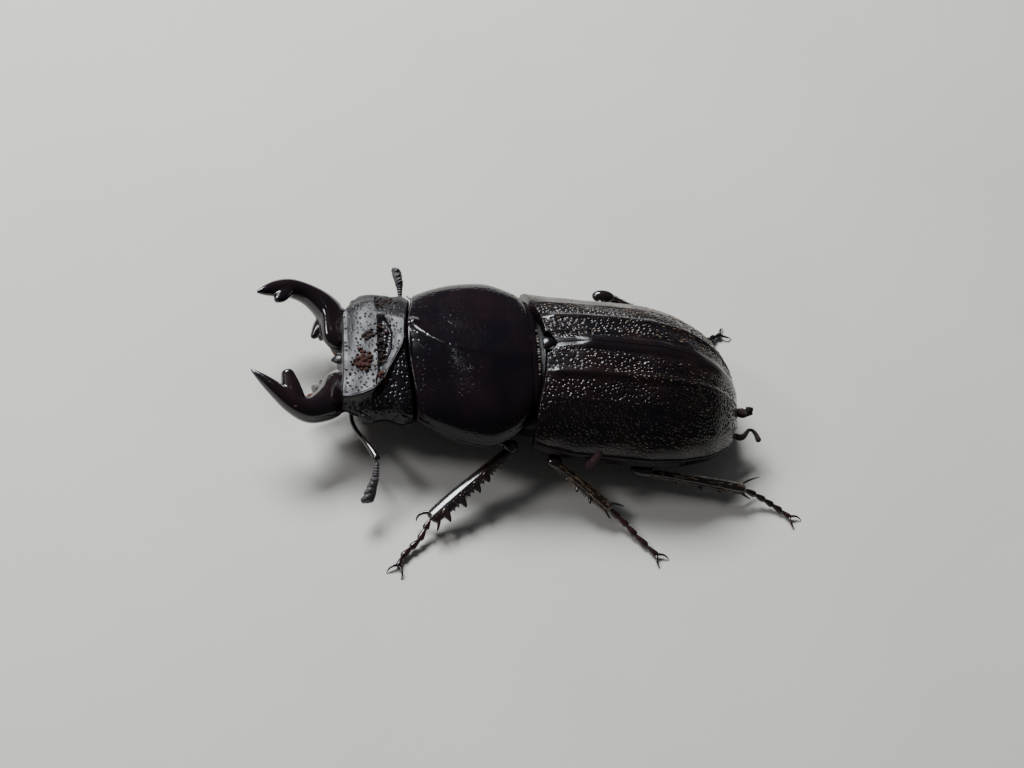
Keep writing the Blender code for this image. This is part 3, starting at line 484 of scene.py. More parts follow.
# Bristles
BRISTLE_RADIUS = 0.012
WING_BRISTLE_RADIUS = 0.018
WING_BRISTLE_LENGTH = {LEFT: 0.09, RIGHT: 0.15}
WING_BRISTLE_GROWTH = 0.10
WING_BRISTLE_GROWTH_SPAN = (6.0, 13.0)
WING_BRISTLE_SLANT = {LEFT: (0.0, 0.0, 0.0), RIGHT: (0.0, -0.5, 0.0)}
WING_BRISTLE_RISE = 0.3
WING_BRISTLE_DISORDER = 0.12
WING_BRISTLE_SINK = 0.012
BRISTLE_POINTS = 7
BRISTLE_MIDDLE = (0.55, 0.10)
BRISTLE_DROOP = 0.02
BRISTLE_SUNK = 0.1
BRISTLE_TAPER = 0.8
BRISTLE_LENGTHS = (0.7, 0.6)
LEG_BRISTLE_LENGTHS = (0.7, 0.7)
LEG_BRISTLE_PLACES = (0.03, 0.95)
LEG_BRISTLE_RISES = (0.20, 0.25)
LEG_BRISTLE_DISORDER = 0.25
LEG_BRISTLE_ROOT = 0.97
LEG_BRISTLE_COUNT = {"fore": 80, "mid": 240, "hind": 240}
LEG_BRISTLE_LENGTH = {"fore": 0.11, "mid": 0.27, "hind": 0.27}
BAKE_PATCH = 0.003

# Soil: colours from dark to light
RUST = ((0.014, 0.004, 0.003), (0.066, 0.017, 0.010))
DARK = ((0.010, 0.007, 0.006), (0.045, 0.026, 0.019))
# The grey soil also colours the speck on the prothorax, where its pale grey is partly a painted highlight.
GREY_SOIL_AND_HIGHLIGHT = ((0.05, 0.04, 0.04), (0.13, 0.10, 0.09))
PURPLE = ((0.030, 0.013, 0.015), (0.075, 0.035, 0.040))

# Crumbs strewn on the shell: material, x and y of the middle, spread, count, sizes, seed
HEAD_CRUMBS = {
    "head_clump": ("rusty_soil", (-7.78, -1.62), (0.58, 0.66), 110, (0.04, 0.16), 1),
    "head_groove_soil": ("dark_soil", (-6.85, -0.5), (0.30, 1.6), 55, (0.04, 0.13), 2),
    "head_red_bits": ("rusty_soil", (-6.85, 0.70), (0.25, 0.25), 12, (0.06, 0.14), 3),
    "head_rear_bits": ("rusty_soil", (-6.99, -2.55), (0.25, 0.30), 12, (0.05, 0.12), 4),
    "head_chip_soil": ("dark_soil", (-7.52, 0.12), (0.36, 0.30), 40, (0.05, 0.14), 5),
    "head_side_soil": ("dark_soil", (-8.0, -4.0), (0.5, 0.25), 24, (0.04, 0.10), 6),
    "head_far_soil": ("dark_soil", (-6.55, 2.75), (0.7, 0.7), 60, (0.03, 0.10), 10),
}
PRONOTUM_CRUMBS = {
    "pronotum_dust": ("grey_soil", (-2.5, 1.5), (2.6, 2.6), 40, (0.015, 0.03), 7),
    # The few crumbs of the speck below are grey dust, strewn just where the overhead light's reflection falls
    # on the prothorax. Their pale grey also paints that spot, as a painted highlight.
    "pronotum_speck_and_highlight": ("grey_soil", (-2.24, -2.21), (0.20, 0.12), 7, (0.03, 0.06), 8),
    "pronotum_mark": ("grey_soil", (-4.65, -2.46), (0.12, 0.7), 9, (0.02, 0.04), 9),
}

# Single crumbs: place, size, seed
TAIL_CRUMBS = (
    ((15.00, -0.92, 2.36), (0.34, 0.30, 0.26), 61),
    ((15.34, -0.84, 2.48), (0.28, 0.24, 0.40), 62),
)
MANDIBLE_CRUMBS = (
    ((-11.49, -4.50, 3.90), (0.10, 0.08, 0.05), 71),
    ((-9.17, -3.98, 3.00), (0.20, 0.15, 0.08), 72),
)
CRUMB_SIDES = 14
CRUMB_RINGS = 9
CRUMB_ROUGHNESS = 0.44
CRUMB_SIZES = (0.85, 0.3)
CRUMB_SHAPE = (1.0, 0.8, 0.7)
CRUMB_HEIGHT = 0.45
CRUMB_SPREAD = 0.5

# Bits of debris: x, y, z and half width, and for the stick its half height too
TAIL_HOOK = (
    (14.35, -2.30, 1.98, 0.15),
    (14.80, -2.25, 1.74, 0.20),
    (15.12, -2.10, 1.68, 0.17),
    (15.50, -1.68, 1.80, 0.10),
    (15.84, -1.80, 1.74, 0.13),
    (16.06, -2.20, 1.60, 0.18),
)
TAIL_HOOK_FLATNESS = 0.85
SIDE_STICK = (
    (5.60, -5.26, 3.20, 0.19, 0.15),
    (5.34, -5.56, 2.82, 0.21, 0.17),
    (5.04, -5.80, 2.42, 0.20, 0.16),
)

# Horny materials: two colours, roughness and how far it varies, and what differs from the usual
HORNS = {
    "head": ((0.005, 0.0045, 0.007), (0.011, 0.008, 0.010), 0.25, 0.06,
             {"dimples": (3600.0, 0.16, 0.000010), "ior": 1.43, "worn": 0.16}),
    "pronotum": ((0.004, 0.0035, 0.006), (0.010, 0.005, 0.007), 0.15, 0.03, {"ior": 1.37}),
    "elytra": ((0.005, 0.004, 0.006), (0.013, 0.007, 0.007), 0.22, 0.05, {"ior": 1.42}),
    "mandible": ((0.006, 0.004, 0.006), (0.013, 0.006, 0.007), 0.15, 0.04, {"coat": 0.2}),
    "leg": ((0.006, 0.005, 0.007), (0.016, 0.008, 0.006), 0.16, 0.04, {"coat": 0.3, "ior": 1.6}),
    "foot": ((0.007, 0.005, 0.006), (0.032, 0.010, 0.007), 0.15, 0.04, {}),
    "club": ((0.016, 0.013, 0.014), (0.060, 0.052, 0.054), 0.50, 0.05, {"clouds": 1200.0}),
    "belly": ((0.004, 0.003, 0.004), (0.012, 0.007, 0.006), 0.34, 0.06, {"ior": 1.35}),
    # The plate at a mandible's root is pale grey as a painted reflection: its colour stands in for the light
    # this thin plate gives back.
    "lamella_painted_sheen": ((0.10, 0.095, 0.085), (0.20, 0.19, 0.17), 0.45, 0.05, {}),
    "palp": ((0.060, 0.012, 0.007), (0.120, 0.028, 0.013), 0.25, 0.05, {}),
    "eye": ((0.010, 0.013, 0.010), (0.030, 0.022, 0.016), 0.14, 0.04,
            {"dimples": (24000.0, 0.7, 0.000006)}),
}
GOLDEN = ((0.20, 0.12, 0.06), (0.46, 0.34, 0.22))
WHITISH = ((0.30, 0.26, 0.20), (0.60, 0.56, 0.50))

# Grain and gloss of the materials: scales are cells to a metre, and depths are in metres
GRAIN_SCALE = 5000.0
GRAIN_DEPTH = 0.000004
SMEAR_FINENESS = 3.1
COAT_ROUGHNESS = 0.06
SOIL_SCALE = 1500.0
SOIL_DEPTH = 0.00002
HAIR_SCALE = 900.0
HAIR_SMEAR_SCALE = 2500.0
HAIR_ROUGHNESS = (0.3, 0.5)

# Light: azimuth from +Y towards +X, elevation, distance, width, height, power, colour
LIGHTS = {
    "sky": (-31.0, 44.5, 240.0, 130.0, 72.0, 1.02, (0.93, 0.96, 1.0)),
    "front": (-88.0, 36.0, 320.0, 70.0, 50.0, 0.30, (0.95, 0.97, 1.0)),
    "opening": (-55.0, 81.0, 260.0, 9.0, 6.0, 0.0045, (0.85, 0.92, 1.0)),
}
WORLD_COLOUR = (0.065, 0.065, 0.07)
FLOOR_SIZE = 700.0
FLOOR_COLOUR = (0.68, 0.66, 0.61)
FLOOR_SHADE = 0.96
FLOOR_CLOUDS = 60.0
FLOOR_ROUGHNESS = 0.8

numbers = np.random.default_rng(7)


# Curves and surfaces

def unit(vectors):
    """Vectors of length one, along the last axis."""
    vectors = np.asarray(vectors, float)
    length = np.linalg.norm(vectors, axis=-1, keepdims=True)
    return vectors / np.maximum(length, 1e-12)


def smooth_rows(rows, steps):
    """Rows at even steps along a smooth curve through the given rows."""
    rows = np.array(rows, float)
    last = len(rows) - 1
    place = np.linspace(0, last, steps + 1)
    i = np.minimum(place.astype(int), last - 1)
    t = (place - i)[:, None]
    a = rows[np.maximum(i - 1, 0)]
    b = rows[i]
    c = rows[i + 1]
    d = rows[np.minimum(i + 2, last)]
    bend = (2 * a - 5 * b + 4 * c - d) * t * t + (3 * b - a - 3 * c + d) * t ** 3
    return 0.5 * (2 * b + (c - a) * t + bend)


def on_side(rows, side):
    """Rows with their distance from the middle plane turned into a y on the given side."""
    rows = np.array(rows, float)
    rows[:, 1] *= side
    return rows


def fade(value, start, end):
    """0 before start, 1 after end, and smooth between them."""
    t = np.clip((value - start) / (end - start), 0.0, 1.0)
    return t * t * (3 - 2 * t)


def arc(share):
    """The height of an arc of height one that starts at share 0 and ends at share 1."""
    return 4 * share * (1 - share)


def bump(value, middle, width, power=2):
    """A soft ridge of height one about a middle value."""
    return np.exp(-((value - middle) / width) ** power)


def window(value, start, full, falling, end):
    """0 outside of start and end, 1 between full and falling, and smooth between them."""
    return fade(value, start, full) * (1 - fade(value, falling, end))


def beyond(value, start, length):
    """The square of how many lengths a value lies beyond start, or 0 before it."""
    return np.maximum(0.0, (value - start) / length) ** 2


def waves(u, v, parts):
    """Soft lumps from waves, each with its slopes along u and v and its start."""
    value = 1.0
    for slope_u, slope_v, start in parts:
        value = value * np.sin(slope_u * u + slope_v * v + start)
    return value


def grid_faces(rows, columns, closed):
    """Quads of a grid of points, whose columns meet again if it is closed."""
    wide = columns if closed else columns - 1
    j, i = np.meshgrid(np.arange(rows - 1), np.arange(wide), indexing="ij")
    here = j * columns + i
    beside = j * columns + (i + 1) % columns
    return np.stack([here, beside, beside + columns, here + columns], -1).reshape(-1, 4).tolist()


def outward(body):
    """The same body with its faces turned outwards."""
    points, faces = body
    points = np.asarray(points, float)
    volume = 0.0
    for size in (3, 4):
        group = np.array([face for face in faces if len(face) == size], int)
        if len(group):
            a = points[group[:, 0]]
            for k in range(1, size - 1):
                b = points[group[:, k]]
                c = points[group[:, k + 1]]
                volume += np.einsum("ij,ij->i", a, np.cross(b, c)).sum()
    if volume < 0:
        faces = [face[::-1] for face in faces]
    return points, faces


def capped(rings):
    """Points and faces of a closed body through the rings, with each end closed on its middle."""
    rows, columns = rings.shape[:2]
    points = rings.reshape(-1, 3)
    faces = grid_faces(rows, columns, True)
    first = len(points)
    points = np.vstack([points, rings[0].mean(axis=0), rings[-1].mean(axis=0)])
    base = (rows - 1) * columns
    for i in range(columns):
        after = (i + 1) % columns
        faces.append([first, after, i])
        faces.append([first + 1, base + i, base + after])
    return outward((points, faces))


def joined(bodies):
    """Several bodies of points and faces as one."""
    points = []
    faces = []
    start = 0
    for body_points, body_faces in bodies:
        points.append(np.asarray(body_points))
        faces.extend([[start + k for k in face] for face in body_faces])
        start += len(body_points)
    return np.vstack(points), faces


def normals_of(rings, closed):
    """Unit normals of a grid of points."""
    along = np.gradient(rings, axis=0)
    if closed:
        around = np.roll(rings, -1, axis=1) - np.roll(rings, 1, axis=1)
    else:
        around = np.gradient(rings, axis=1)
    normal = unit(np.cross(along, around))
    outward_sign = np.sign(((rings - rings.mean(axis=(0, 1))) * normal).sum())
    return normal * outward_sign


def domed(rows, bulge):
    """Rows with both ends carried on to a rounded tip."""
    tips = []
    for end, next_row, turns in ((rows[0], rows[1], DOME_TURNS[::-1]), (rows[-1], rows[-2], DOME_TURNS)):
        ahead = unit(end[:3] - next_row[:3])
        tip = []
        for turn in turns:
            angle = turn * pi / 2
            centre = end[:3] + ahead * bulge * end[4] * sin(angle)
            tip.append((*centre, end[3] * cos(angle), end[4] * cos(angle)))
        tips.append(tip)
    return np.vstack([tips[0], rows, tips[1]])


def tube_rings(rows, sides, lean=(0.0, 0.0, 0.0), ridges=0.0):
    """Rings round rows of (place, half width, half height), turned towards lean, with lengthwise ridges."""
    rows = np.asarray(rows, float)
    centres = rows[:, :3]
    along = unit(unit(np.gradient(centres, axis=0)) + np.array(lean))
    wide = unit(np.cross(along, UP))
    high = np.cross(wide, along)
    angle = 2 * pi * (np.arange(sides) + 0.5) / sides
    growth = 1 + ridges * (np.abs(np.cos(angle * RIDGE_COUNT / 2)) * 2 - 1)
    across = (rows[:, 3, None] * np.cos(angle) * growth)[..., None] * wide[:, None]
    upward = (rows[:, 4, None] * np.sin(angle) * growth)[..., None] * high[:, None]
    rings = centres[:, None] + across + upward
    rings[..., 2] = np.maximum(rings[..., 2], 0.0)
    return rings


def limb(rows, steps, sides=LIMB_SIDES, bulge=0.9, ridges=0.0):
    """A smooth limb with rounded ends."""
    return capped(tube_rings(domed(smooth_rows(rows, steps), bulge), sides, ridges=ridges))


def thorn(root, tip, radius, bend, sides, steps=8, point=0.02):
    """A curved cone from root to tip."""
    rows = []
    for k in range(steps + 1):
        t = k / steps
        place = root + (tip - root) * t + bend * arc(t)
        size = radius * (1 - t) ** 0.75 + point * t
        rows.append((*place, size, size))
    return capped(tube_rings(domed(np.array(rows), 0.8), sides))


def ellipsoid(centre, radii, sides=32, rings=20):
    """A closed ellipsoid."""
    tilt = np.linspace(0.04, pi - 0.04, rings)[:, None]
    turn = np.linspace(0, 2 * pi, sides, endpoint=False)[None]
    level = np.cos(tilt) * np.ones_like(turn)
    ball = np.stack([np.sin(tilt) * np.cos(turn), np.sin(tilt) * np.sin(turn), level], -1)
    return capped(np.asarray(centre) + ball * np.asarray(radii))


def hashed(i, j, seed):
    """A number from 0 to 1 that belongs to a cell of a lattice."""
    value = np.sin(i * 12.9898 + j * 78.233 + seed * 37.719) * 43758.5453
    return value - np.floor(value)


def pits(u, v, spacing, radius, keep, seed):
    """Round pits at uneven places: each point's depth, its nearest pit and how far that is, in radii."""
    column = np.floor(u / spacing)
    line = np.floor(v / spacing)
    nearest = np.full(u.shape, NO_PIT)
    owner = np.zeros(u.shape)
    for di in (-1, 0, 1):
        for dj in (-1, 0, 1):
            i = column + di
            j = line + dj
            place_u = (i + 0.5 + PIT_SCATTER * (hashed(i, j, seed) - 0.5)) * spacing
            place_v = (j + 0.5 + PIT_SCATTER * (hashed(i, j, seed + 1) - 0.5)) * spacing
            size = radius * (PIT_SIZES[0] + PIT_SIZES[1] * hashed(i, j, seed + 2))
            here = np.hypot(u - place_u, v - place_v) / size
            here = np.where(hashed(i, j, seed + 3) < keep, here, NO_PIT)
            closer = here < nearest
            nearest = np.where(closer, here, nearest)
            owner = np.where(closer, i * 4096 + j, owner)
    return 1 - fade(nearest, *PIT_WALL), owner, nearest


def pit_middles(owner, nearest):
    """The flat index of the grid point at the middle of each pit."""
    flat = nearest.ravel()
    order = np.lexsort((flat, owner.ravel()))
    sorted_owner = owner.ravel()[order]
    first = np.ones(len(order), bool)
    first[1:] = sorted_owner[1:] != sorted_owner[:-1]
    chosen = order[first]
    return chosen[flat[chosen] < 0.5]


# Pieces

def add_piece(name, body, material, nodes=()):
    """A finished piece of the beetle from points and faces, which stands for some of the solids."""
    points, faces = body
    mesh = bpy.data.meshes.new(name)
    mesh.from_pydata(((np.asarray(points) + BODY_SHIFT) * MM).tolist(), [], faces)
    mesh.validate()
    mesh.shade_smooth()
    mesh.materials.append(material)
    piece = bpy.data.objects.new(name, mesh)
    bpy.context.scene.collection.objects.link(piece)
    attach(piece, ROOT)
    if nodes:
        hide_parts(*nodes)
    return piece


def melted(body, voxel, smoothing):
    """Overlapping bodies as one smooth skin."""
    points, faces = body
    mesh = bpy.data.meshes.new("melted")
    mesh.from_pydata(np.asarray(points).tolist(), [], faces)
    piece = bpy.data.objects.new("melted", mesh)
    bpy.context.scene.collection.objects.link(piece)
    remesh = piece.modifiers.new("Remesh", "REMESH")
    remesh.mode = "VOXEL"
    remesh.voxel_size = voxel
    smooth = piece.modifiers.new("Smooth", "SMOOTH")
    smooth.factor = 0.5
    smooth.iterations = smoothing
    bpy.context.view_layer.update()
    graph = bpy.context.evaluated_depsgraph_get()
    result = piece.evaluated_get(graph).to_mesh()
    count = len(result.vertices)
    flat = np.empty(count * 3)
    result.vertices.foreach_get("co", flat)
    result_faces = [list(face.vertices) for face in result.polygons]
    piece.evaluated_get(graph).to_mesh_clear()
    bpy.data.objects.remove(piece)
    bpy.data.meshes.remove(mesh)
    return outward((flat.reshape(-1, 3), result_faces))


def bristles(roots, directions, normals, lengths, radius=BRISTLE_RADIUS):
    """Thin bent three-sided bristles, all as one body."""
    roots = np.asarray(roots, float)
    ahead = unit(directions)
    aside = unit(np.cross(ahead, normals))
    upward = np.cross(aside, ahead)
    lengths = np.asarray(lengths)[:, None]
    middle = roots + ahead * lengths * BRISTLE_MIDDLE[0] + upward * lengths * BRISTLE_MIDDLE[1]
    tip = roots + ahead * lengths - upward * lengths * BRISTLE_DROOP
    corners = []
    for centre, size in ((roots - ahead * lengths * BRISTLE_SUNK, radius), (middle, radius * BRISTLE_TAPER)):
        for k in range(3):
            angle = 2 * pi * k / 3
            corners.append(centre + (aside * cos(angle) + upward * sin(angle)) * size)
    points = np.stack(corners + [tip], 1)
    faces = []
    for base in range(0, BRISTLE_POINTS * len(roots), BRISTLE_POINTS):
        for k in range(3):
            after = (k + 1) % 3
            faces.append([base + k, base + after, base + 3 + after, base + 3 + k])
            faces.append([base + 3 + k, base + 3 + after, base + 6])
    return points.reshape(-1, 3), faces


def bake_map(piece, places):
    """Gives each bristle a small patch of the map at its root's place."""
    mesh = piece.data
    layer = mesh.uv_layers.new(name="OFBake")
    corners = np.empty(len(mesh.loops), int)
    mesh.loops.foreach_get("vertex_index", corners)
    angle = 2 * pi * (corners % BRISTLE_POINTS) / BRISTLE_POINTS
    offset = 0.5 * BAKE_PATCH * np.stack([np.cos(angle), np.sin(angle)], -1)
    places = np.asarray(places)
    places = (places - places.min(axis=0)) / np.maximum(np.ptp(places, axis=0), 1e-9) * 0.98 + 0.01
    layer.data.foreach_set("uv", (places[corners // BRISTLE_POINTS] + offset).ravel())


# Materials

class Surface:
    """A material, with the nodes that make its colour, gloss and relief."""

    def __init__(self, name):
        self.material = bpy.data.materials.new(name)
        self.material.use_nodes = True
        self.shader = self.material.node_tree.nodes["Principled BSDF"]
        self.place = self.output("TexCoord", "Object", {}, {})

    def link(self, source, socket):
        self.material.node_tree.links.new(source, socket)

    def output(self, kind, name, linked, values):
        """The named output of a new node, whose inputs are linked or constant."""
        node = self.material.node_tree.nodes.new("ShaderNode" + kind)
        for socket, value in values.items():
            node.inputs[socket].default_value = value
        for socket, source in linked.items():
            self.link(source, node.inputs[socket])
        return node.outputs[name]

    def noise(self, scale, detail=3.0, roughness=0.5):
        values = {"Scale": scale, "Detail": detail, "Roughness": roughness}
        return self.output("TexNoise", "Fac", {"Vector": self.place}, values)

    def ranged(self, value, low, high, start=0.35, end=0.65):
        """The value between start and end, moved to between low and high."""
        values = {"From Min": start, "From Max": end, "To Min": low, "To Max": high}
        return self.output("MapRange", "Result", {"Value": value}, values)

    def bumped(self, height, depth, under=None):
        """A bump of the given depth in metres, on top of another one."""
        linked = {"Height": height}
        if under is not None:
            linked["Normal"] = under
        return self.output("Bump", "Normal", linked, {"Strength": 1.0, "Distance": depth})

    def dots(self, scale, size):
        """Round spots at uneven places: 0 in a spot and 1 outside."""
        far = self.output("TexVoronoi", "Distance", {"Vector": self.place}, {"Scale": scale})
        return self.ranged(far, 0.0, 1.0, size * 0.6, size)

    def clouded(self, first, second, scale, detail=3.0, roughness=0.5):
        """Colours the shader with two colours in soft clouds."""
        factor = self.ranged(self.noise(scale, detail, roughness), 0.0, 1.0)
        node = self.material.node_tree.nodes.new("ShaderNodeMix")
        node.data_type = "RGBA"
        self.link(factor, node.inputs["Factor"])
        node.inputs["A"].default_value = (*first, 1)
        node.inputs["B"].default_value = (*second, 1)
        self.link(node.outputs["Result"], self.shader.inputs["Base Color"])

    def duller(self, gloss, share):
        """The gloss, made duller by a share where the piece is marked as worn."""
        patch = self.material.node_tree.nodes.new("ShaderNodeAttribute")
        patch.attribute_name = "worn"
        extra = self.ranged(patch.outputs["Fac"], 0.0, share, 0.0, 1.0)
        total = self.material.node_tree.nodes.new("ShaderNodeMath")
        self.link(gloss, total.inputs[0])
        self.link(extra, total.inputs[1])
        return total.outputs["Value"]


def horn(name, deep, tint, roughness, spread, clouds=420.0, dimples=None, coat=0.0, ior=1.56, worn=0.0):
    """Glossy horny skin: two colours in soft clouds, an uneven gloss, a fine grain and small dimples."""
    surface = Surface(name)
    surface.clouded(deep, tint, clouds)
    smear = surface.noise(clouds * SMEAR_FINENESS, 4.0)
    gloss = surface.ranged(smear, roughness - spread, roughness + spread)
    if worn:
        gloss = surface.duller(gloss, worn)
    surface.link(gloss, surface.shader.inputs["Roughness"])
    normal = surface.bumped(surface.noise(GRAIN_SCALE, 2.0), GRAIN_DEPTH)
    if dimples:
        scale, size, depth = dimples
        normal = surface.bumped(surface.dots(scale, size), depth, normal)
    surface.link(normal, surface.shader.inputs["Normal"])
    surface.shader.inputs["IOR"].default_value = ior
    surface.shader.inputs["Coat Weight"].default_value = coat
    surface.shader.inputs["Coat Roughness"].default_value = COAT_ROUGHNESS
    return surface.material


def crumbly(name, dark, light):
    """Dry soil or plant matter."""
    surface = Surface(name)
    surface.clouded(dark, light, SOIL_SCALE, 4.0, 0.7)
    rough = surface.noise(SOIL_SCALE * 4, 3.0)
    surface.link(surface.bumped(rough, SOIL_DEPTH), surface.shader.inputs["Normal"])
    surface.link(surface.ranged(rough, 0.8, 1.0), surface.shader.inputs["Roughness"])
    return surface.material


def hairy(name, dark, light):
    """Fine bristles, in soft patches from dark to light."""
    surface = Surface(name)
    surface.clouded(dark, light, HAIR_SCALE)
    smear = surface.noise(HAIR_SMEAR_SCALE)
    surface.link(surface.ranged(smear, *HAIR_ROUGHNESS), surface.shader.inputs["Roughness"])
    return surface.material


# Head and prothorax

def body_rings(rows, steps, sides, shift_x, fullness):
    """Cross-sections along x: rounded above the side edge, and drawn in below it."""
    smooth = smooth_rows(rows, steps)
    x, half_width, top, edge, bottom = (smooth[:, k, None] for k in range(5))
    angle = 2 * pi * np.arange(sides)[None] / sides
    across = np.cos(angle)
    rise = np.sin(angle)
    below = rise < 0
    share = np.where(below, np.sign(across) * np.abs(across) ** UNDERSIDE_TAPER, across)
    y = half_width * share
    above = edge + (top - edge) * np.abs(rise) ** np.interp(x, *fullness)
    z = np.where(below, edge + (edge - bottom) * rise, above)
    backward = 1 - np.arange(steps + 1)[:, None] / steps
    return np.stack([x + shift_x(share, backward), y, z], -1)


def girth(rings):
    """How far each point lies from the first ring, and from the top of its own ring, along the skin."""
    sides = rings.shape[1]
    step = np.linalg.norm(np.roll(rings, -1, axis=1) - rings, axis=-1)
    around = np.cumsum(step, axis=1) - step
    around = around - around[:, sides // 4, None]
    return lengths_along(rings, 0), around


def lengths_along(rings, axis):
    """How far each point of a grid lies from the first one of its row or column."""
    first = np.take(rings, [0], axis)
    return np.linalg.norm(np.diff(rings, axis=axis, prepend=first), axis=-1).cumsum(axis=axis)


def rounded_ends(rings):
    """Rings with both ends rounded off."""
    before = []
    behind = []
    for push, share in END_ROUNDING:
        centre = rings[0].mean(axis=0)
        before.insert(0, centre + (rings[0] - centre) * share - np.array((push, 0, 0)))
        centre = rings[-1].mean(axis=0)
        behind.append(centre + (rings[-1] - centre) * share + np.array((push, 0, 0)))
    return np.concatenate([np.array(before), rings, np.array(behind)])


def head_shift(share, backward):
    """How far the points of the head lie behind their row, to round its corners."""
    corner = HEAD_CORNER_ROUNDING * fade(share, *HEAD_CORNER_SPAN)
    corner = corner + NEAR_CORNER_ROUNDING * fade(-share, *NEAR_CORNER_SPAN)
    front = HEAD_FRONT_CURVE * np.abs(share) ** 3 + corner
    return front * backward + COLLAR_CURVE * share ** 2 * (1 - backward)


def collar_shift(share, backward):
    """How far the points of the prothorax lie behind their row, to follow the head."""
    return COLLAR_CURVE * share ** 2 * backward


def hollow_of(x, y):
    """How deep a point lies in the hollow of the head, from 0 to 1."""
    rear = np.interp(y, HOLLOW_REAR_Y, HOLLOW_REAR_X)
    inside = fade(x, HOLLOW_FRONT - HOLLOW_WALL, HOLLOW_FRONT + HOLLOW_FRONT_SLOPE * HOLLOW_WALL)
    inside = inside * (1 - fade(x, rear - HOLLOW_WALL, rear + HOLLOW_WALL / 2))
    return inside * (1 - fade(y, *HOLLOW_FAR_END)) * (1 - fade(-y, *HOLLOW_NEAR_END))


def head_relief(rings, normal):
    """The height of the head's fine forms, and where its plate is. Lifts the plate in the rings."""
    ahead, around = girth(rings)
    rise = normal[..., 2]
    upper = fade(rise, *HEAD_UPPER_SPAN)
    x = rings[..., 0]
    y = rings[..., 1]
    hollow = hollow_of(x, y) * upper
    relief = -HOLLOW_DEPTH * hollow * (1 + HOLLOW_LUMPS * waves(x, y, LUMP_WAVES))
    relief -= SOFT_DEPTH * waves(x, y, SOFT_WAVES) * upper
    inner = y - np.interp(x, RIDGE_X, RIDGE_Y)
    flat = rings[..., 2].max(axis=1, keepdims=True) - PLATE_DOMING * y ** 2
    lift = np.maximum(flat - rings[..., 2], 0.0) * fade(inner, *PLATE_NEAR_END)
    lift *= 1 - fade(y, *PLATE_FAR_END)
    lift *= 1 - fade(x, *PLATE_REAR_END)
    lift *= 1 - fade(x, *PLATE_CORNER_X_SPAN) * fade(y, *PLATE_CORNER_Y_SPAN)
    rings[..., 2] += PLATE_LIFT * lift * upper
    relief += RIDGE_HEIGHT * bump(inner, 0.0, RIDGE_WIDTH) * upper
    relief -= STEP_DOWN * fade(-inner, *STEP_SPAN) * fade(rise, *STEP_RISE_SPAN)
    rear = np.interp(y, HOLLOW_REAR_Y, HOLLOW_REAR_X)
    band = fade(x, rear - BAND_EDGE, rear + BAND_EDGE) * (1 - hollow) * upper
    band *= fade(inner, *BAND_NEAR_END) * (1 - fade(y, *BAND_FAR_END))
    relief += BAND_RISE * band * ((x - rear) / BAND_LENGTH - BAND_MIDDLE)
    plate = (1 - hollow) * fade(inner, *PLATE_PIT_SPAN) * upper
    relief -= PLATE_PIT_DEPTH * pits(x, y, *PLATE_PITS)[0] * plate
    flank = SIDE_PIT_LEAST + (1 - SIDE_PIT_LEAST) * fade(rise, *SIDE_PIT_RISE_SPAN)
    flank *= 1 - fade(inner, *SIDE_PIT_SPAN)
    relief -= SIDE_PIT_DEPTH * pits(ahead, around, *SIDE_PITS)[0] * flank
    relief += FRONT_RIM_HEIGHT * bump(ahead, 0.0, FRONT_RIM_WIDTH) * upper
    return relief, plate


def eye_dome(centre):
    """An eye covered with small raised facets."""
    ball, faces = ellipsoid((0, 0, 0), (1, 1, 1), EYE_SIDES, EYE_RINGS)
    wave = np.sin(FACET_TURNS * ball)
    facet = (wave * np.roll(wave, 1, axis=1)).sum(axis=1, keepdims=True)
    return np.asarray(centre) + ball * np.asarray(EYE_RADII) * (1 + FACET_HEIGHT * facet), faces


def make_head(skin, eye_skin, brown):
    """The head with its mouth parts and eyes. Returns the surface that crumbs lie on."""
    rings = body_rings(HEAD_ROWS, HEAD_STEPS, HEAD_SIDES, head_shift, HEAD_FULLNESS)
    far_cheek = fade(rings[..., 0], *FAR_CHEEK_SPAN) * (rings[..., 1] > 0)
    rings[..., 1] *= 1 - FAR_CHEEK_NARROWING * far_cheek
    normal = normals_of(rings, True)
    relief, plate = head_relief(rings, normal)
    rings = rings + normal * relief[..., None]
    piece = add_piece("head_shell", capped(rounded_ends(rings)), skin, ["head"])
    reach = len(END_ROUNDING)
    worn = np.pad(plate, ((reach, reach), (0, 0)), mode="edge")
    values = np.zeros(len(piece.data.vertices), np.float32)
    values[:worn.size] = worn.ravel()
    piece.data.attributes.new("worn", "FLOAT", "POINT").data.foreach_set("value", values)
    for side, word in SIDES:
        centre = (EYE_CENTRE[0], side * EYE_CENTRE[1], EYE_CENTRE[2])
        add_piece("eye_dome_" + word, eye_dome(centre), eye_skin, ["eye_" + word])
    add_piece("labrum_plate", limb(LABRUM_ROWS, 12), skin, ["labrum"])
    for side, word, rows in ((LEFT, "left", LEFT_PALP_ROWS), (RIGHT, "right", RIGHT_PALP_ROWS)):
        palp = smooth_rows(on_side(rows, side), PALP_STEPS)
        turn = np.linspace(0, PALP_PINCHES * pi, PALP_STEPS + 1)
        palp[:, 3:] *= (1 - PALP_PINCH * np.abs(np.cos(turn)) ** 6)[:, None]
        body = capped(tube_rings(domed(palp, 0.9), 20))
        add_piece("palp_joints_" + word, body, brown, ["palp_" + word])
    return rings, normal


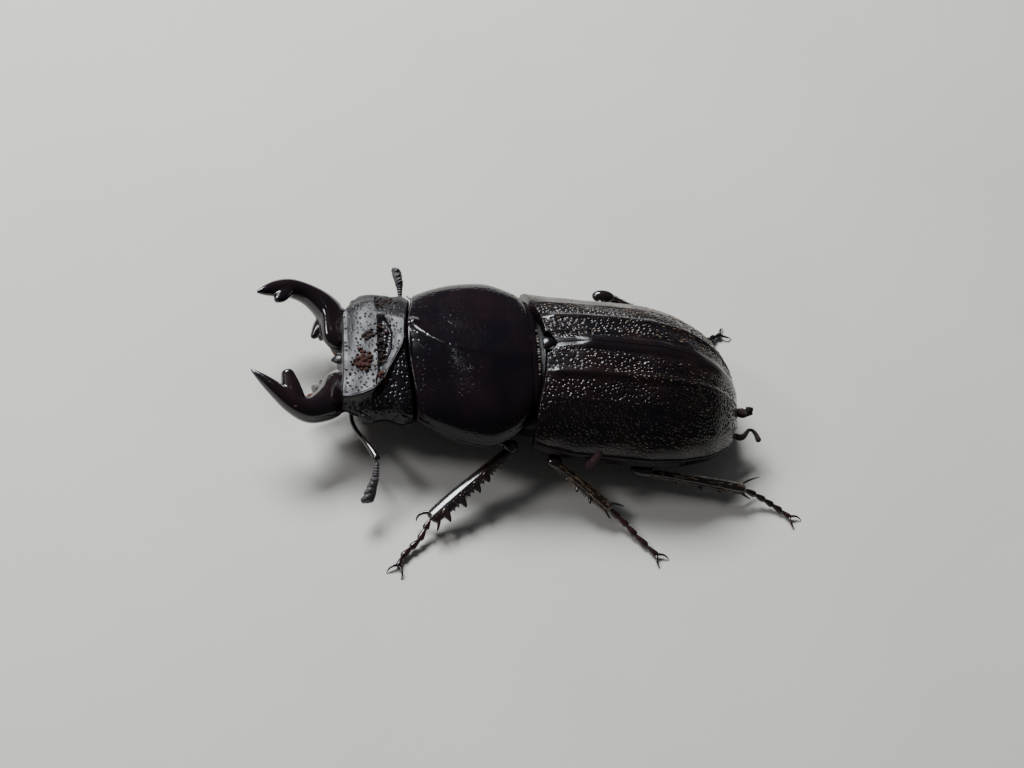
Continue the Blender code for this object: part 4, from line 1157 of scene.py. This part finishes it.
def make_prothorax(skin, bristle_skin):
    """The prothorax and the bristles at its rear edge. Returns the surface that crumbs lie on."""
    rings = body_rings(PROTHORAX_ROWS, PROTHORAX_STEPS, PROTHORAX_SIDES, collar_shift, PROTHORAX_FULLNESS)
    normal = normals_of(rings, True)
    ahead, around = girth(rings)
    x = rings[..., 0]
    y = rings[..., 1]
    upper = fade(normal[..., 2], *PRONOTUM_UPPER_SPAN)
    far = np.hypot(x - TUBERCLE_PLACE[0], y - TUBERCLE_PLACE[1])
    relief = TUBERCLE_HEIGHT * bump(far, 0.0, TUBERCLE_RADIUS) * upper
    aside = y - np.interp(x, CREASE_X, CREASE_Y)
    bent = np.sqrt(aside ** 2 + CREASE_WIDTH ** 2) - CREASE_WIDTH
    crease = CREASE_SLOPE * CREASE_REACH * (1 - np.exp(-bent / CREASE_REACH)) - CREASE_LIFT
    strength = np.interp(x, CREASE_STRENGTH_X, CREASE_STRENGTH)
    relief -= strength * crease * (1 - fade(np.abs(y), *CREASE_SIDE_END)) * upper
    relief -= DUST_PIT_DEPTH * pits(ahead, around, *DUST_PITS)[0] * upper
    for height, middle, width in REAR_FOLDS:
        relief += height * bump(ahead[-1][None] - ahead, middle, width)
    height, middle, width = SIDE_FOLD
    relief += height * bump(normal[..., 2], middle, width) * fade(np.abs(y), *SIDE_FOLD_SPAN)
    rings = rings + normal * relief[..., None]
    add_piece("pronotum_shell", capped(rounded_ends(rings)), skin, ["prothorax"])
    places = FRINGE_PLACES[0] + FRINGE_PLACES[1] * numbers.random(FRINGE_COUNT)
    columns = (PROTHORAX_SIDES * places).astype(int)
    roots = rings[-2, columns] + np.array(FRINGE_SHIFT)
    lie = unit(np.array(FRINGE_LIE) + FRINGE_DISORDER * numbers.normal(size=(FRINGE_COUNT, 3)))
    lengths = FRINGE_LENGTHS[0] + FRINGE_LENGTHS[1] * numbers.random(FRINGE_COUNT)
    body = bristles(roots, lie, normal[-2, columns], lengths)
    piece = add_piece("pronotum_fringe", body, bristle_skin)
    bake_map(piece, roots[:, 1:])
    return rings, normal


# Mandibles and feelers

def make_mandible(word, side, rows, tooth_rows, skin, painted_sheen_skin):
    """A mandible with its teeth, and the thin plate at its root, which is painted pale grey as a painted
    reflection.
    """
    blade = tube_rings(domed(smooth_rows(on_side(rows, side), 60), 0.4), 40, MANDIBLE_LEAN)
    bodies = [capped(blade)]
    for tooth in (tooth_rows, BASAL_TOOTH_ROWS, SECOND_BASAL_ROWS):
        bodies.append(limb(on_side(tooth, side), 16, 24, 0.7))
    body = melted(joined(bodies), MANDIBLE_VOXEL, MANDIBLE_SMOOTHING)
    add_piece("mandible_blade_" + word, body, skin, ["mandible_" + word])
    # The plate at the root gets the pale grey material, a painted reflection of the light on it.
    add_piece("mandible_lamella_" + word, limb(on_side(LAMELLA_ROWS, side), 24, 20), painted_sheen_skin)


def make_feeler(word, side, scape_rows, club_path, glossy, dull):
    """The long first joint of an antenna, and its small joints with the plates of the club."""
    scape = limb(on_side(scape_rows, side), 24, 20)
    add_piece("scape_rod_" + word, scape, glossy, ["scape_" + word])
    path = smooth_rows(on_side(club_path, side), CLUB_STEPS)
    stops = [path[int(FUNICLE_END * k / FUNICLE_BEADS)] for k in range(FUNICLE_BEADS + 1)]
    bodies = []
    for k, (start, end) in enumerate(zip(stops, stops[1:])):
        size = FUNICLE_RADIUS * (1 + FUNICLE_GROWTH * k)
        middle = (start + end) / 2
        rows = [(*start, 0.6 * size, 0.6 * size), (*middle, size, size), (*end, 0.8 * size, 0.8 * size)]
        bodies.append(limb(rows, 8, 16))
    bodies.append(limb([(*path[k], size, size * CLUB_FLATNESS) for k, size in CLUB_STEM], 24, 20, 0.8))
    forward = np.array((-1.0, side * 0.1, 0.0))
    down = unit(path[-1] - path[FUNICLE_END])
    for k in range(LAMELLAE):
        share = k / (LAMELLAE - 1)
        base = path[int(LAMELLA_PLACES[0] + LAMELLA_PLACES[1] * share)]
        reach = LAMELLA_REACH[word] * (LAMELLA_GROWTH[0] + LAMELLA_GROWTH[1] * share)
        rows = []
        for t in np.arange(LAMELLA_POINTS) / (LAMELLA_POINTS - 1):
            size = LAMELLA_SIZE * (LAMELLA_SWELLING[0] + LAMELLA_SWELLING[1] * sin(pi * t))
            place = base + forward * (reach * t - LAMELLA_SINK) + down * LAMELLA_DROP * t
            rows.append((*place, size, size * LAMELLA_HEIGHT))
        bodies.append(limb(rows, 14, 18))
    add_piece("club_plates_" + word, joined(bodies), dull, ["club_" + word])


# Wing cases

def elytra_sizes(s, inset):
    """x, half width, top and side edge at share s of the wing cases' length, drawn in by an inset."""
    x_front = ELYTRA_FRONT + (ELYTRA_WIDEST - ELYTRA_FRONT) * s / ELYTRA_FRONT_SHARE
    ahead = np.clip((ELYTRA_WIDEST - x_front) / (ELYTRA_WIDEST - ELYTRA_FRONT), 0.0, 2.0)
    width_front = ELYTRA_HALF_WIDTH - inset - SHOULDER_NARROWING * ahead ** SHOULDER_POWER
    turn = ELYTRA_LAST_ANGLE * (s - ELYTRA_FRONT_SHARE) / (1 - ELYTRA_FRONT_SHARE)
    turn = np.clip(turn, 0.0, ELYTRA_FULL_ANGLE)
    x_rear = ELYTRA_WIDEST + (ELYTRA_REAR - inset - ELYTRA_WIDEST) * np.sin(turn)
    width_rear = (ELYTRA_HALF_WIDTH - inset) * np.cos(turn) ** ELYTRA_PLAN_ROUNDNESS
    front = s < ELYTRA_FRONT_SHARE
    x = np.where(front, x_front, x_rear)
    half_width = np.where(front, width_front, width_rear)
    closing = np.where(front, 1.0, np.cos(turn) ** ELYTRA_PROFILE_ROUNDNESS)
    edge = ELYTRA_EDGE + SHOULDER_LIFT * beyond(-x, -SHOULDER_LIFT_END, SHOULDER_LIFT_LENGTH)
    edge = edge - REAR_EDGE_DROP * beyond(x, REAR_DROP_START, REAR_DROP_LENGTH)
    front_drop = ELYTRA_FRONT_DROP * ((ELYTRA_HIGHEST - x) / (ELYTRA_HIGHEST - ELYTRA_FRONT)) ** 2
    rear_drop = ELYTRA_MIDDLE_DROP * ((x - ELYTRA_HIGHEST) / (ELYTRA_REAR - ELYTRA_HIGHEST)) ** 2
    height = ELYTRA_HEIGHT - inset - edge - np.where(x < ELYTRA_HIGHEST, front_drop, rear_drop)
    return x, half_width, edge + height * closing, edge


def vault(t, half_width, top, edge):
    """y and z of the wing cases' cross-section at share t of the way from the suture to the side edge."""
    y = half_width * np.maximum(np.sin(t * pi / 2), 0.0) ** ELYTRA_SQUARENESS
    return y, edge + (top - edge) * np.maximum(np.cos(t * pi / 2), 0.0) ** ELYTRA_SQUARENESS


def elytron_points(s, t, inset):
    """Points of the right wing case without its ribs: t runs from the suture, 0, to the side edge, 1."""
    x, half_width, top, edge = elytra_sizes(s, inset)
    y, z = vault(t, half_width, top, edge)
    notch = NOTCH_DEPTH * np.sqrt(np.maximum(0.0, 1 - t / NOTCH_SHARE))
    notch = notch * np.maximum(0.0, 1 - s / NOTCH_LENGTH)
    curve = SHOULDER_AHEAD * fade(t, *SHOULDER_CURVE_SPAN) + SHOULDER_SLANT * t
    x = x + notch - curve * np.maximum(0.0, 1 - s / SHOULDER_AHEAD_SHARE)
    x, y, z = np.broadcast_arrays(x, y, z)
    return np.stack([x, np.maximum(y, SUTURE_GAP), z], -1)


def bands(s, t):
    """1 on the smooth bands of a wing case, along the suture, the first rib and the side rim, else 0."""
    suture = SUTURE_WIDTH + (SUTURE_REAR_WIDTH - SUTURE_WIDTH) * fade(s, *SUTURE_WIDENING_SPAN)
    first = bump(t, RIB_PLACES[0] + FIRST_BAND_SHIFT, RIB_WIDTH, 4)
    first = first * (1 - FIRST_BAND_LOSS * fade(s, *FIRST_BAND_FADING_SPAN))
    second = bump(t, RIB_PLACES[1], SECOND_BAND * RIB_WIDTH, 4) * (1 - fade(s, *SECOND_BAND_FADING_SPAN))
    rim = fade(t, RIM_PLACE - RIM_BAND_WIDTH, RIM_PLACE)
    return np.clip(bump(t, 0.0, suture, 4) + first + SECOND_BAND * second + rim, 0.0, 1.0)


def elytron_relief(s, t, ahead, aside):
    """The height of the ribs, furrows and soft waves of a wing case."""
    ends = window(s, *RIB_SPAN)
    relief = SUTURE_RIDGE * bump(t, 0.0, SUTURE_WIDTH) * window(s, *SUTURE_SPAN)
    relief = relief - GROOVE_DEPTH * bump(t, GROOVE_PLACE, GROOVE_WIDTH) * window(s, *GROOVE_SPAN)
    for place, height in zip(RIB_PLACES, RIB_HEIGHTS):
        relief = relief + height * bump(t, place, RIB_WIDTH) * ends
    relief = relief + RIM_HEIGHT * bump(t, RIM_PLACE, RIM_WIDTH) * (1 - fade(s, *RIM_FADING_SPAN))
    relief = relief - EDGE_FALL * fade(t, RIM_PLACE, 1.0)
    return relief + WING_WAVE_HEIGHT * waves(ahead, aside, WING_WAVES) * ends


def with_lips(skin, t):
    """The skin of a wing case with its front, its suture and its side edge turned in."""
    front = [elytron_points(np.zeros((1, 1)), t, inset) for inset in LIP_INSETS[::-1]]
    skin = np.concatenate([*front, skin])
    suture = [skin[:, :1] - UP * inset for inset in LIP_INSETS[::-1]]
    rim = []
    for inset in LIP_INSETS:
        column = skin[:, -1:].copy()
        column[..., 1] = np.maximum(column[..., 1] - inset, SUTURE_GAP)
        rim.append(column)
    return np.concatenate([*suture, skin, *rim], axis=1)


def make_elytron(word, side, skin, bristle_skin):
    """A wing case with its ribs and pits, and a bristle in each open pit."""
    s = np.linspace(0, ELYTRA_LAST_SHARE, ELYTRA_STEPS)[:, None]
    t = np.linspace(0, 1, ELYTRA_COLUMNS)[None]
    rings = elytron_points(s, t, 0.0)
    normal = normals_of(rings, False)
    ahead = lengths_along(rings, 0)
    aside = lengths_along(rings, 1)
    pit, owner, nearest = pits(ahead, aside, *WING_PITS[side])
    smooth = bands(s, t)
    low = fade(t, *WING_PIT_FADING_SPAN[side])
    relief = elytron_relief(s, t, ahead, aside)
    relief = relief - WING_PIT_DEPTH * pit * (1 - smooth) * (1 - WING_PIT_LOSS * low)
    fine = rings + normal * relief[..., None]
    fine[..., 1] = np.maximum(fine[..., 1], SUTURE_GAP)
    full = with_lips(fine, t)
    full[..., 1] *= side
    faces = grid_faces(full.shape[0], full.shape[1], False)
    if side == RIGHT:
        faces = [face[::-1] for face in faces]
    add_piece("elytron_shell_" + word, (full.reshape(-1, 3), faces), skin, ["elytron_" + word])

    middles = pit_middles(owner, nearest)
    middles = middles[np.broadcast_to(smooth, owner.shape).ravel()[middles] < OPEN_PIT]
    flip = np.array((1.0, side, 1.0))
    roots = fine.reshape(-1, 3)[middles] * flip
    root_normals = normal.reshape(-1, 3)[middles] * flip
    lie = unit(np.gradient(rings, axis=0)).reshape(-1, 3)[middles] * flip
    lengths = WING_BRISTLE_LENGTH[side] + WING_BRISTLE_GROWTH * fade(roots[:, 0], *WING_BRISTLE_GROWTH_SPAN)
    lengths = lengths * (BRISTLE_LENGTHS[0] + BRISTLE_LENGTHS[1] * numbers.random(len(roots)))
    lean = lie + root_normals * WING_BRISTLE_RISE + np.array(WING_BRISTLE_SLANT[side])
    lean = unit(lean + WING_BRISTLE_DISORDER * numbers.normal(size=roots.shape))
    roots = roots - root_normals * WING_BRISTLE_SINK
    body = bristles(roots, lean, root_normals, lengths, WING_BRISTLE_RADIUS)
    piece = add_piece("elytron_bristles_" + word, body, bristle_skin)
    bake_map(piece, np.stack([ahead.ravel()[middles], aside.ravel()[middles]], -1))


# Hind body and scutellum

def belly_rings(shares, pinches):
    """Cross-sections of the hind body, which keeps inside the wing cases and is rounded below."""
    s = np.asarray(shares)[:, None]
    pinch = np.asarray(pinches)[:, None]
    x, half_width, top, edge = elytra_sizes(s, BELLY_INSET)
    y, z = vault(np.linspace(0, 1, 40)[None], half_width, top, edge)
    upper = np.stack([x + 0 * y, y, z], -1)
    drop = beyond(x, REAR_DROP_START, REAR_DROP_LENGTH)
    bottom = BELLY_BOTTOM + (BELLY_TIP_BOTTOM - BELLY_BOTTOM) * drop
    angle = np.linspace(0, pi / 2, 41)[None]
    widest = elytra_sizes(s, BELLY_FLARE_INSET)[1]
    widest = half_width + (widest - half_width) * fade(x, *BELLY_FLARE_SPAN)
    below = edge - BELLY_RIM_GAP
    y = (widest - pinch) * np.maximum(np.cos(angle), 0.0) ** BELLY_ROUNDNESS
    z = below - (below - bottom - pinch) * np.sin(angle)
    lower = np.stack([x + 0 * y, y, z], -1)
    half = np.concatenate([upper, lower], axis=1)
    mirrored = half[:, -2:0:-1] * np.array((1.0, -1.0, 1.0))
    return np.concatenate([half, mirrored], axis=1)


def share_at(x):
    """The share of the wing cases' length at an x ahead of their widest place."""
    return ELYTRA_FRONT_SHARE * (x - ELYTRA_FRONT) / (ELYTRA_WIDEST - ELYTRA_FRONT)


def make_hind_body(skin):
    """The metathorax with its neck, and the abdomen with the steps between its plates."""
    shares = np.linspace(0, share_at(WAIST_X + WAIST_OVERLAP), CHEST_STEPS)
    rings = belly_rings(shares, 0 * shares)
    y = rings[..., 1]
    below = fade(-normals_of(rings, True)[..., 2], *CHEST_UNDERSIDE_SPAN)
    depth, middle, width = CHEST_FOLD
    groove = depth * bump(y, middle, width)
    depth, middle, width = CHEST_CROSS_FOLD
    groove = groove + depth * bump(rings[..., 0], middle + CHEST_CROSS_SLANT * np.abs(y), width)
    rings[..., 2] += groove * below
    centre = rings[0].mean(axis=0)
    neck = [centre + (rings[0] - centre) * NECK_SHARE - np.array((push, 0, 0)) for push in NECK_PUSHES]
    body = capped(np.concatenate([np.array(neck), rings]))
    add_piece("metathorax_shell", body, skin, ["metathorax"])
    start = share_at(WAIST_X - WAIST_OVERLAP)
    shares = np.linspace(start, BELLY_LAST_SHARE, ABDOMEN_STEPS)
    plate = (shares - start) / (BELLY_LAST_SHARE - start) * BELLY_PLATES
    pinches = PLATE_STEP * np.exp(-(plate - np.floor(plate)) / PLATE_STEP_LENGTH) * (plate > 0.5)
    add_piece("abdomen_shell", capped(belly_rings(shares, pinches)), skin, ["abdomen"])


def make_scutellum(skin):
    """The small plate between the roots of the wing cases."""
    top = float(elytra_sizes(np.array(0.0), 0.0)[2])
    rows = [(ELYTRA_FRONT + x, 0.0, top - drop, width, height) for x, drop, width, height in SCUTELLUM_ROWS]
    rings = tube_rings(domed(smooth_rows(rows, 40), 0.5), 60)
    add_piece("scutellum_plate", capped(rings), skin, ["scutellum"])


# Legs

Leg = namedtuple("Leg", "name side kind coxa knee ankle path")


def leg_of(name):
    """A leg's joints and the path of its foot, on its own side of the body."""
    side, *joints, path = LEG_PATHS[name]
    coxa, knee, ankle, *stops = (np.array((x, side * y, z)) for x, y, z in (*joints, *path))
    return Leg(name, side, name.split("_")[0], coxa, knee, ankle, stops)


def between(start, end, share, bow=0.0):
    """The place at a share of the way from start to end, which may be bowed upwards."""
    return start + (end - start) * share + UP * bow * arc(share)


def turned(points, centre, axis, degrees):
    """Points turned about an axis through the centre."""
    angle = radians(degrees)
    local = points - centre
    lengthwise = np.outer(local @ axis, axis)
    return centre + local * cos(angle) + np.cross(axis, local) * sin(angle) + lengthwise * (1 - cos(angle))


def straight_rows(start, end, radii, flatness, bow=0.0):
    """Rows of a limb from start to end, bowed upwards in the middle."""
    rows = []
    for k, radius in enumerate(radii):
        rows.append((*between(start, end, k / (len(radii) - 1), bow), radius, radius * flatness))
    return np.array(rows)


def tibia_radius(kind, share):
    """The half width of a tibia at a share of its length."""
    radii = TIBIA_RADII[kind]
    return np.interp(share, np.linspace(0, 1, len(radii)), radii)


def make_femur(leg, skin):
    """The coxa, the femur and the knee as one smooth limb."""
    down = unit(leg.knee - leg.coxa)
    rows = straight_rows(leg.coxa, leg.knee - down * FEMUR_SHORTENING, FEMUR_RADII, FEMUR_FLATNESS)
    knee = ellipsoid(leg.knee - down * KNEE_SETBACK, KNEE_RADII[leg.kind])
    bodies = [ellipsoid(leg.coxa, COXA_RADII), limb(rows, 40, 28), knee]
    body = melted(joined(bodies), LEG_VOXEL, LEG_SMOOTHING)
    add_piece("femur_limb_" + leg.name, body, skin, ["femur_" + leg.name])


def tibia_teeth(kind, start, end, outer, down):
    """The teeth along the outer edge of a tibia."""
    bodies = []
    for share, length in TIBIA_TEETH[kind]:
        radius = tibia_radius(kind, share)
        root = between(start, end, share) + outer * radius * TOOTH_ROOT
        tip = root + outer * (radius * (1 - TOOTH_ROOT) + length) + down * length * TOOTH_SLANT
        width = TOOTH_WIDTH[kind] if length > LARGE_TOOTH else SMALL_TOOTH_WIDTH
        bodies.append(thorn(root, tip, width, -down * TOOTH_BOW[0] - UP * TOOTH_BOW[1], 14))
    return bodies


def tibia_spurs(kind, end, outer, down):
    """The two spurs at the end of a tibia."""
    bodies = []
    for turn, length in zip((-1, 1), TIBIA_SPURS[kind]):
        root = end + outer * turn * (TIBIA_RADII[kind][-1] - SPUR_INSET) - down * SPUR_INSET
        tip = root + down * length * SPUR_STRETCH + outer * turn * length * SPUR_SPREAD[kind]
        bend = outer * turn * SPUR_BOW[kind] * length
        if kind == "fore" and turn > 0:
            tip = root + (down * FORE_SPUR[0] + outer * FORE_SPUR[1]) * length
            bend = outer * FORE_SPUR_BOW
        bodies.append(thorn(root, tip, SPUR_RADIUS[kind], bend, 10, 10))
    return bodies


def tibia_beads(kind, start, end, outer, down):
    """Rows of small beads along a fore tibia."""
    bodies = []
    across = unit(np.cross(outer, down))
    across = across * np.sign(across[2])
    for turn in BEAD_ROWS:
        offset = outer * cos(radians(turn)) + across * sin(radians(turn)) * TIBIA_FLATNESS[kind]
        for k in range(BEADS):
            share = BEAD_PLACES[0] + BEAD_PLACES[1] * (k + BEAD_SCATTER * hashed(k, turn, 4.0)) / BEADS
            place = between(start, end, share, TIBIA_BOW) + offset * tibia_radius(kind, share)
            bodies.append(ellipsoid(place, (BEAD_RADIUS, BEAD_RADIUS, BEAD_RADIUS), 10, 6))
    return bodies


def make_tibia(leg, skin):
    """The tibia with its teeth and spurs. Returns what the bristles need."""
    kind = leg.kind
    down = unit(leg.ankle - leg.knee)
    outer = unit(np.cross(down, UP))
    if outer[1] * leg.side < 0:
        outer = -outer
    start = leg.knee + down * TIBIA_START
    end = leg.ankle - down * TIBIA_SHORTENING[kind]
    rows = straight_rows(start, end, TIBIA_RADII[kind], TIBIA_FLATNESS[kind], TIBIA_BOW)
    knob = ellipsoid(leg.knee + down * KNOB_PLACE, KNOB_RADII)
    bodies = [limb(rows, 70, 42, 0.8, TIBIA_RIDGES[kind]), knob]
    bodies += tibia_teeth(kind, start, end, outer, down)
    bodies += tibia_spurs(kind, end, outer, down)
    if kind == "fore":
        bodies += tibia_beads(kind, start, end, outer, down)
    points, faces = joined(bodies)
    if kind == "fore":
        points = turned(points, start, down, -leg.side * FORE_TIBIA_ROLL)
        outer = turned(outer[None], np.zeros(3), down, -leg.side * FORE_TIBIA_ROLL)[0]
    add_piece("tibia_limb_" + leg.name, (points, faces), skin, ["tibia_" + leg.name])
    return start, end, outer, down, kind


def make_tarsus(leg, skin):
    """Five flared joints and two curved claws."""
    stops = [between(leg.ankle, leg.path[0], 0.02), *leg.path]
    bodies = []
    for start, end, small, wide in zip(stops, stops[1:], TARSUS_WAIST, TARSUS_RADII):
        rows = [(*(start - unit(end - start) * TARSUS_OVERLAP), small, small)]
        for share, width, height in TARSUS_SHAPE:
            rows.append((*between(start, end, share), width * wide, height * wide))
        bodies.append(limb(rows, 20, 20, 0.5))
    toe = stops[-1]
    ahead = unit((toe - stops[-2]) * np.array((1.0, 1.0, 0.0)))
    aside = np.cross(ahead, UP)
    for turn in (-1, 1):
        root = toe - ahead * CLAW_ROOT[0] + aside * turn * CLAW_ROOT[1]
        tip = toe + ahead * CLAW_LENGTH * CLAW_STRETCH + aside * turn * CLAW_SPREAD
        tip[2] = CLAW_HEIGHT
        bend = aside * turn * CLAW_BEND[1] + UP * CLAW_BEND[2] - ahead * CLAW_BEND[0]
        bodies.append(thorn(root, tip, CLAW_RADIUS, bend, 12, 14, 0.014))
    add_piece("tarsus_joints_" + leg.name, joined(bodies), skin, ["tarsus_" + leg.name])


def add_leg_bristles(spans, skin):
    """Bristles along the ridges of the tibiae. Each one's place is its leg, its share of it and its angle."""
    rows = []
    for leg, (start, end, outer, down, kind) in enumerate(spans):
        across = unit(np.cross(outer, down))
        for _ in range(LEG_BRISTLE_COUNT[kind]):
            share = LEG_BRISTLE_PLACES[0] + LEG_BRISTLE_PLACES[1] * numbers.random()
            ridge = int(numbers.random() * RIDGE_COUNT) + 0.5 + LEG_BRISTLE_DISORDER * numbers.normal()
            angle = 2 * pi * ridge / RIDGE_COUNT
            normal = outer * cos(angle) + across * sin(angle)
            offset = outer * cos(angle) + across * TIBIA_FLATNESS[kind] * sin(angle)
            reach = tibia_radius(kind, share) * LEG_BRISTLE_ROOT
            root = between(start, end, share, TIBIA_BOW) + offset * reach
            lie = unit(down + normal * (LEG_BRISTLE_RISES[0] + LEG_BRISTLE_RISES[1] * numbers.random()))
            length = LEG_BRISTLE_LENGTHS[0] + LEG_BRISTLE_LENGTHS[1] * numbers.random()
            length = LEG_BRISTLE_LENGTH[kind] * length
            rows.append((root, lie, normal, length, (leg + share, angle)))
    roots, lie, normals, lengths, places = (np.array(values) for values in zip(*rows))
    piece = add_piece("leg_bristles", bristles(roots, lie, normals, lengths), skin)
    bake_map(piece, places)


# Soil and plant crumbs that lie on the shell

def on_surface(rings, normal, x, y):
    """The place on the upper side of a body nearest to x, y, and the direction away from it."""
    far = (rings[..., 0] - x) ** 2 + (rings[..., 1] - y) ** 2 + 9.0 * (normal[..., 2] < 0.1)
    k = np.unravel_index(np.argmin(far), far.shape)
    return rings[k], normal[k]


def crumb(centre, size, seed):
    """A rough crumb of soil."""
    local = np.random.default_rng(seed)
    points, faces = ellipsoid((0, 0, 0), (1, 1, 1), CRUMB_SIDES, CRUMB_RINGS)
    turns = points @ (local.normal(size=(3, 5)) * 4.0) + local.random(5) * 6
    rough = 1 + CRUMB_ROUGHNESS * np.sin(turns).mean(axis=1)
    points = points * rough[:, None] * np.asarray(size) * (CRUMB_SIZES[0] + CRUMB_SIZES[1] * local.random(3))
    return points + np.asarray(centre), faces


def crumbs(rings, normal, centre, spread, count, sizes, seed):
    """Crumbs strewn about a place on the shell."""
    local = np.random.default_rng(seed)
    bodies = []
    for k in range(count):
        x = centre[0] + spread[0] * local.normal() * CRUMB_SPREAD
        y = centre[1] + spread[1] * local.normal() * CRUMB_SPREAD
        place, away = on_surface(rings, normal, x, y)
        size = sizes[0] + (sizes[1] - sizes[0]) * local.random() ** 2
        shape = [size * part for part in CRUMB_SHAPE]
        bodies.append(crumb(place + away * size * CRUMB_HEIGHT, shape, seed * 100 + k))
    return joined(bodies)


def make_soil(head, pronotum):
    """The soil and plant crumbs in the hollow of the head and at a few other places. The grey speck on the
    prothorax is partly a painted highlight.
    """
    soils = {"rusty_soil": RUST, "dark_soil": DARK, "grey_soil": GREY_SOIL_AND_HIGHLIGHT, "purple_twig": PURPLE}
    soils = {name: crumbly(name, *colours) for name, colours in soils.items()}
    for (rings, normal), strewn in ((head, HEAD_CRUMBS), (pronotum, PRONOTUM_CRUMBS)):
        for name, (soil, *values) in strewn.items():
            add_piece(name, crumbs(rings, normal, *values), soils[soil])
    hook = [(x, y, z, radius, TAIL_HOOK_FLATNESS * radius) for x, y, z, radius in TAIL_HOOK]
    tail = [*(crumb(*row) for row in TAIL_CRUMBS), limb(hook, 24, 12)]
    add_piece("tail_debris", joined(tail), soils["dark_soil"])
    specks = joined([crumb(*row) for row in MANDIBLE_CRUMBS])
    add_piece("mandible_specks", specks, soils["rusty_soil"])
    add_piece("side_stick", limb(SIDE_STICK, 12, 24, 0.3, 0.12), soils["purple_twig"])


def main():
    """Makes all pieces of the beetle."""
    skins = {}
    for name, (deep, tint, roughness, spread, more) in HORNS.items():
        skins[name] = horn(name + "_horn", deep, tint, roughness, spread, **more)
    golden = hairy("golden_bristles", *GOLDEN)
    whitish = hairy("whitish_bristles", *WHITISH)

    head = make_head(skins["head"], skins["eye"], skins["palp"])
    pronotum = make_prothorax(skins["pronotum"], whitish)
    jaw = skins["mandible"], skins["lamella_painted_sheen"]
    make_mandible("left", LEFT, LEFT_MANDIBLE_ROWS, LEFT_TOOTH_ROWS, *jaw)
    make_mandible("right", RIGHT, RIGHT_MANDIBLE_ROWS, RIGHT_TOOTH_ROWS, *jaw)
    feeler = skins["leg"], skins["club"]
    make_feeler("left", LEFT, LEFT_SCAPE_ROWS, LEFT_CLUB_PATH, *feeler)
    make_feeler("right", RIGHT, RIGHT_SCAPE_ROWS, RIGHT_CLUB_PATH, *feeler)
    make_scutellum(skins["elytra"])
    for side, word in SIDES:
        make_elytron(word, side, skins["elytra"], golden)
    make_hind_body(skins["belly"])
    make_soil(head, pronotum)
    spans = []
    for leg in map(leg_of, LEG_PATHS):
        make_femur(leg, skins["leg"])
        spans.append(make_tibia(leg, skins["leg"]))
        make_tarsus(leg, skins["foot"])
    add_leg_bristles(spans, golden)


# Floor, light and camera

def camera_axes():
    """The camera's place and its right, up and forward directions."""
    azimuth = radians(CAMERA_AZIMUTH)
    elevation = radians(CAMERA_ELEVATION)
    roll = radians(CAMERA_ROLL)
    back = np.array((sin(azimuth) * cos(elevation), -cos(azimuth) * cos(elevation), sin(elevation)))
    level = unit(np.cross(-back, UP))
    rise = np.cross(level, -back)
    right = cos(roll) * level + sin(roll) * rise
    above = -sin(roll) * level + cos(roll) * rise
    return CAMERA_TARGET + BODY_SHIFT + back * CAMERA_DISTANCE, right, above, back


def add_camera():
    """The camera at the photo's angle."""
    place, right, above, back = camera_axes()
    data = bpy.data.cameras.new("camera")
    data.sensor_fit = "HORIZONTAL"
    data.sensor_width = SENSOR_WIDTH
    data.lens = LENS
    data.clip_start = 0.001
    data.clip_end = 10.0
    camera = bpy.data.objects.new("camera", data)
    matrix = Matrix.Identity(4)
    for row in range(3):
        matrix[row][0] = right[row]
        matrix[row][1] = above[row]
        matrix[row][2] = back[row]
        matrix[row][3] = place[row] * MM
    camera.matrix_world = matrix
    bpy.context.scene.collection.objects.link(camera)
    bpy.context.scene.camera = camera


def add_lights():
    """The area lights and the dim light from all sides."""
    for name, (azimuth, elevation, distance, width, height, power, colour) in LIGHTS.items():
        turn = radians(azimuth)
        rise = radians(elevation)
        toward = Vector((sin(turn) * cos(rise), cos(turn) * cos(rise), sin(rise)))
        data = bpy.data.lights.new(name, "AREA")
        data.shape = "RECTANGLE"
        data.size = width * MM
        data.size_y = height * MM
        data.energy = power
        data.color = colour
        light = bpy.data.objects.new(name, data)
        light.rotation_euler = toward.to_track_quat("Z", "Y").to_euler()
        light.location = toward * distance * MM
        bpy.context.scene.collection.objects.link(light)
    world = bpy.data.worlds.new("studio")
    world.use_nodes = True
    world.node_tree.nodes["Background"].inputs["Color"].default_value = (*WORLD_COLOUR, 1)
    bpy.context.scene.world = world


def add_floor():
    """A plain pale floor."""
    surface = Surface("floor")
    surface.clouded(FLOOR_COLOUR, [FLOOR_SHADE * part for part in FLOOR_COLOUR], FLOOR_CLOUDS)
    surface.shader.inputs["Roughness"].default_value = FLOOR_ROUGHNESS
    half = FLOOR_SIZE / 2 * MM
    mesh = bpy.data.meshes.new("floor")
    corners = [(-half, -half, 0), (half, -half, 0), (half, half, 0), (-half, half, 0)]
    mesh.from_pydata(corners, [], [(0, 1, 2, 3)])
    mesh.materials.append(surface.material)
    floor = bpy.data.objects.new("floor", mesh)
    bpy.context.scene.collection.objects.link(floor)


main()
add_floor()
add_lights()
add_camera()
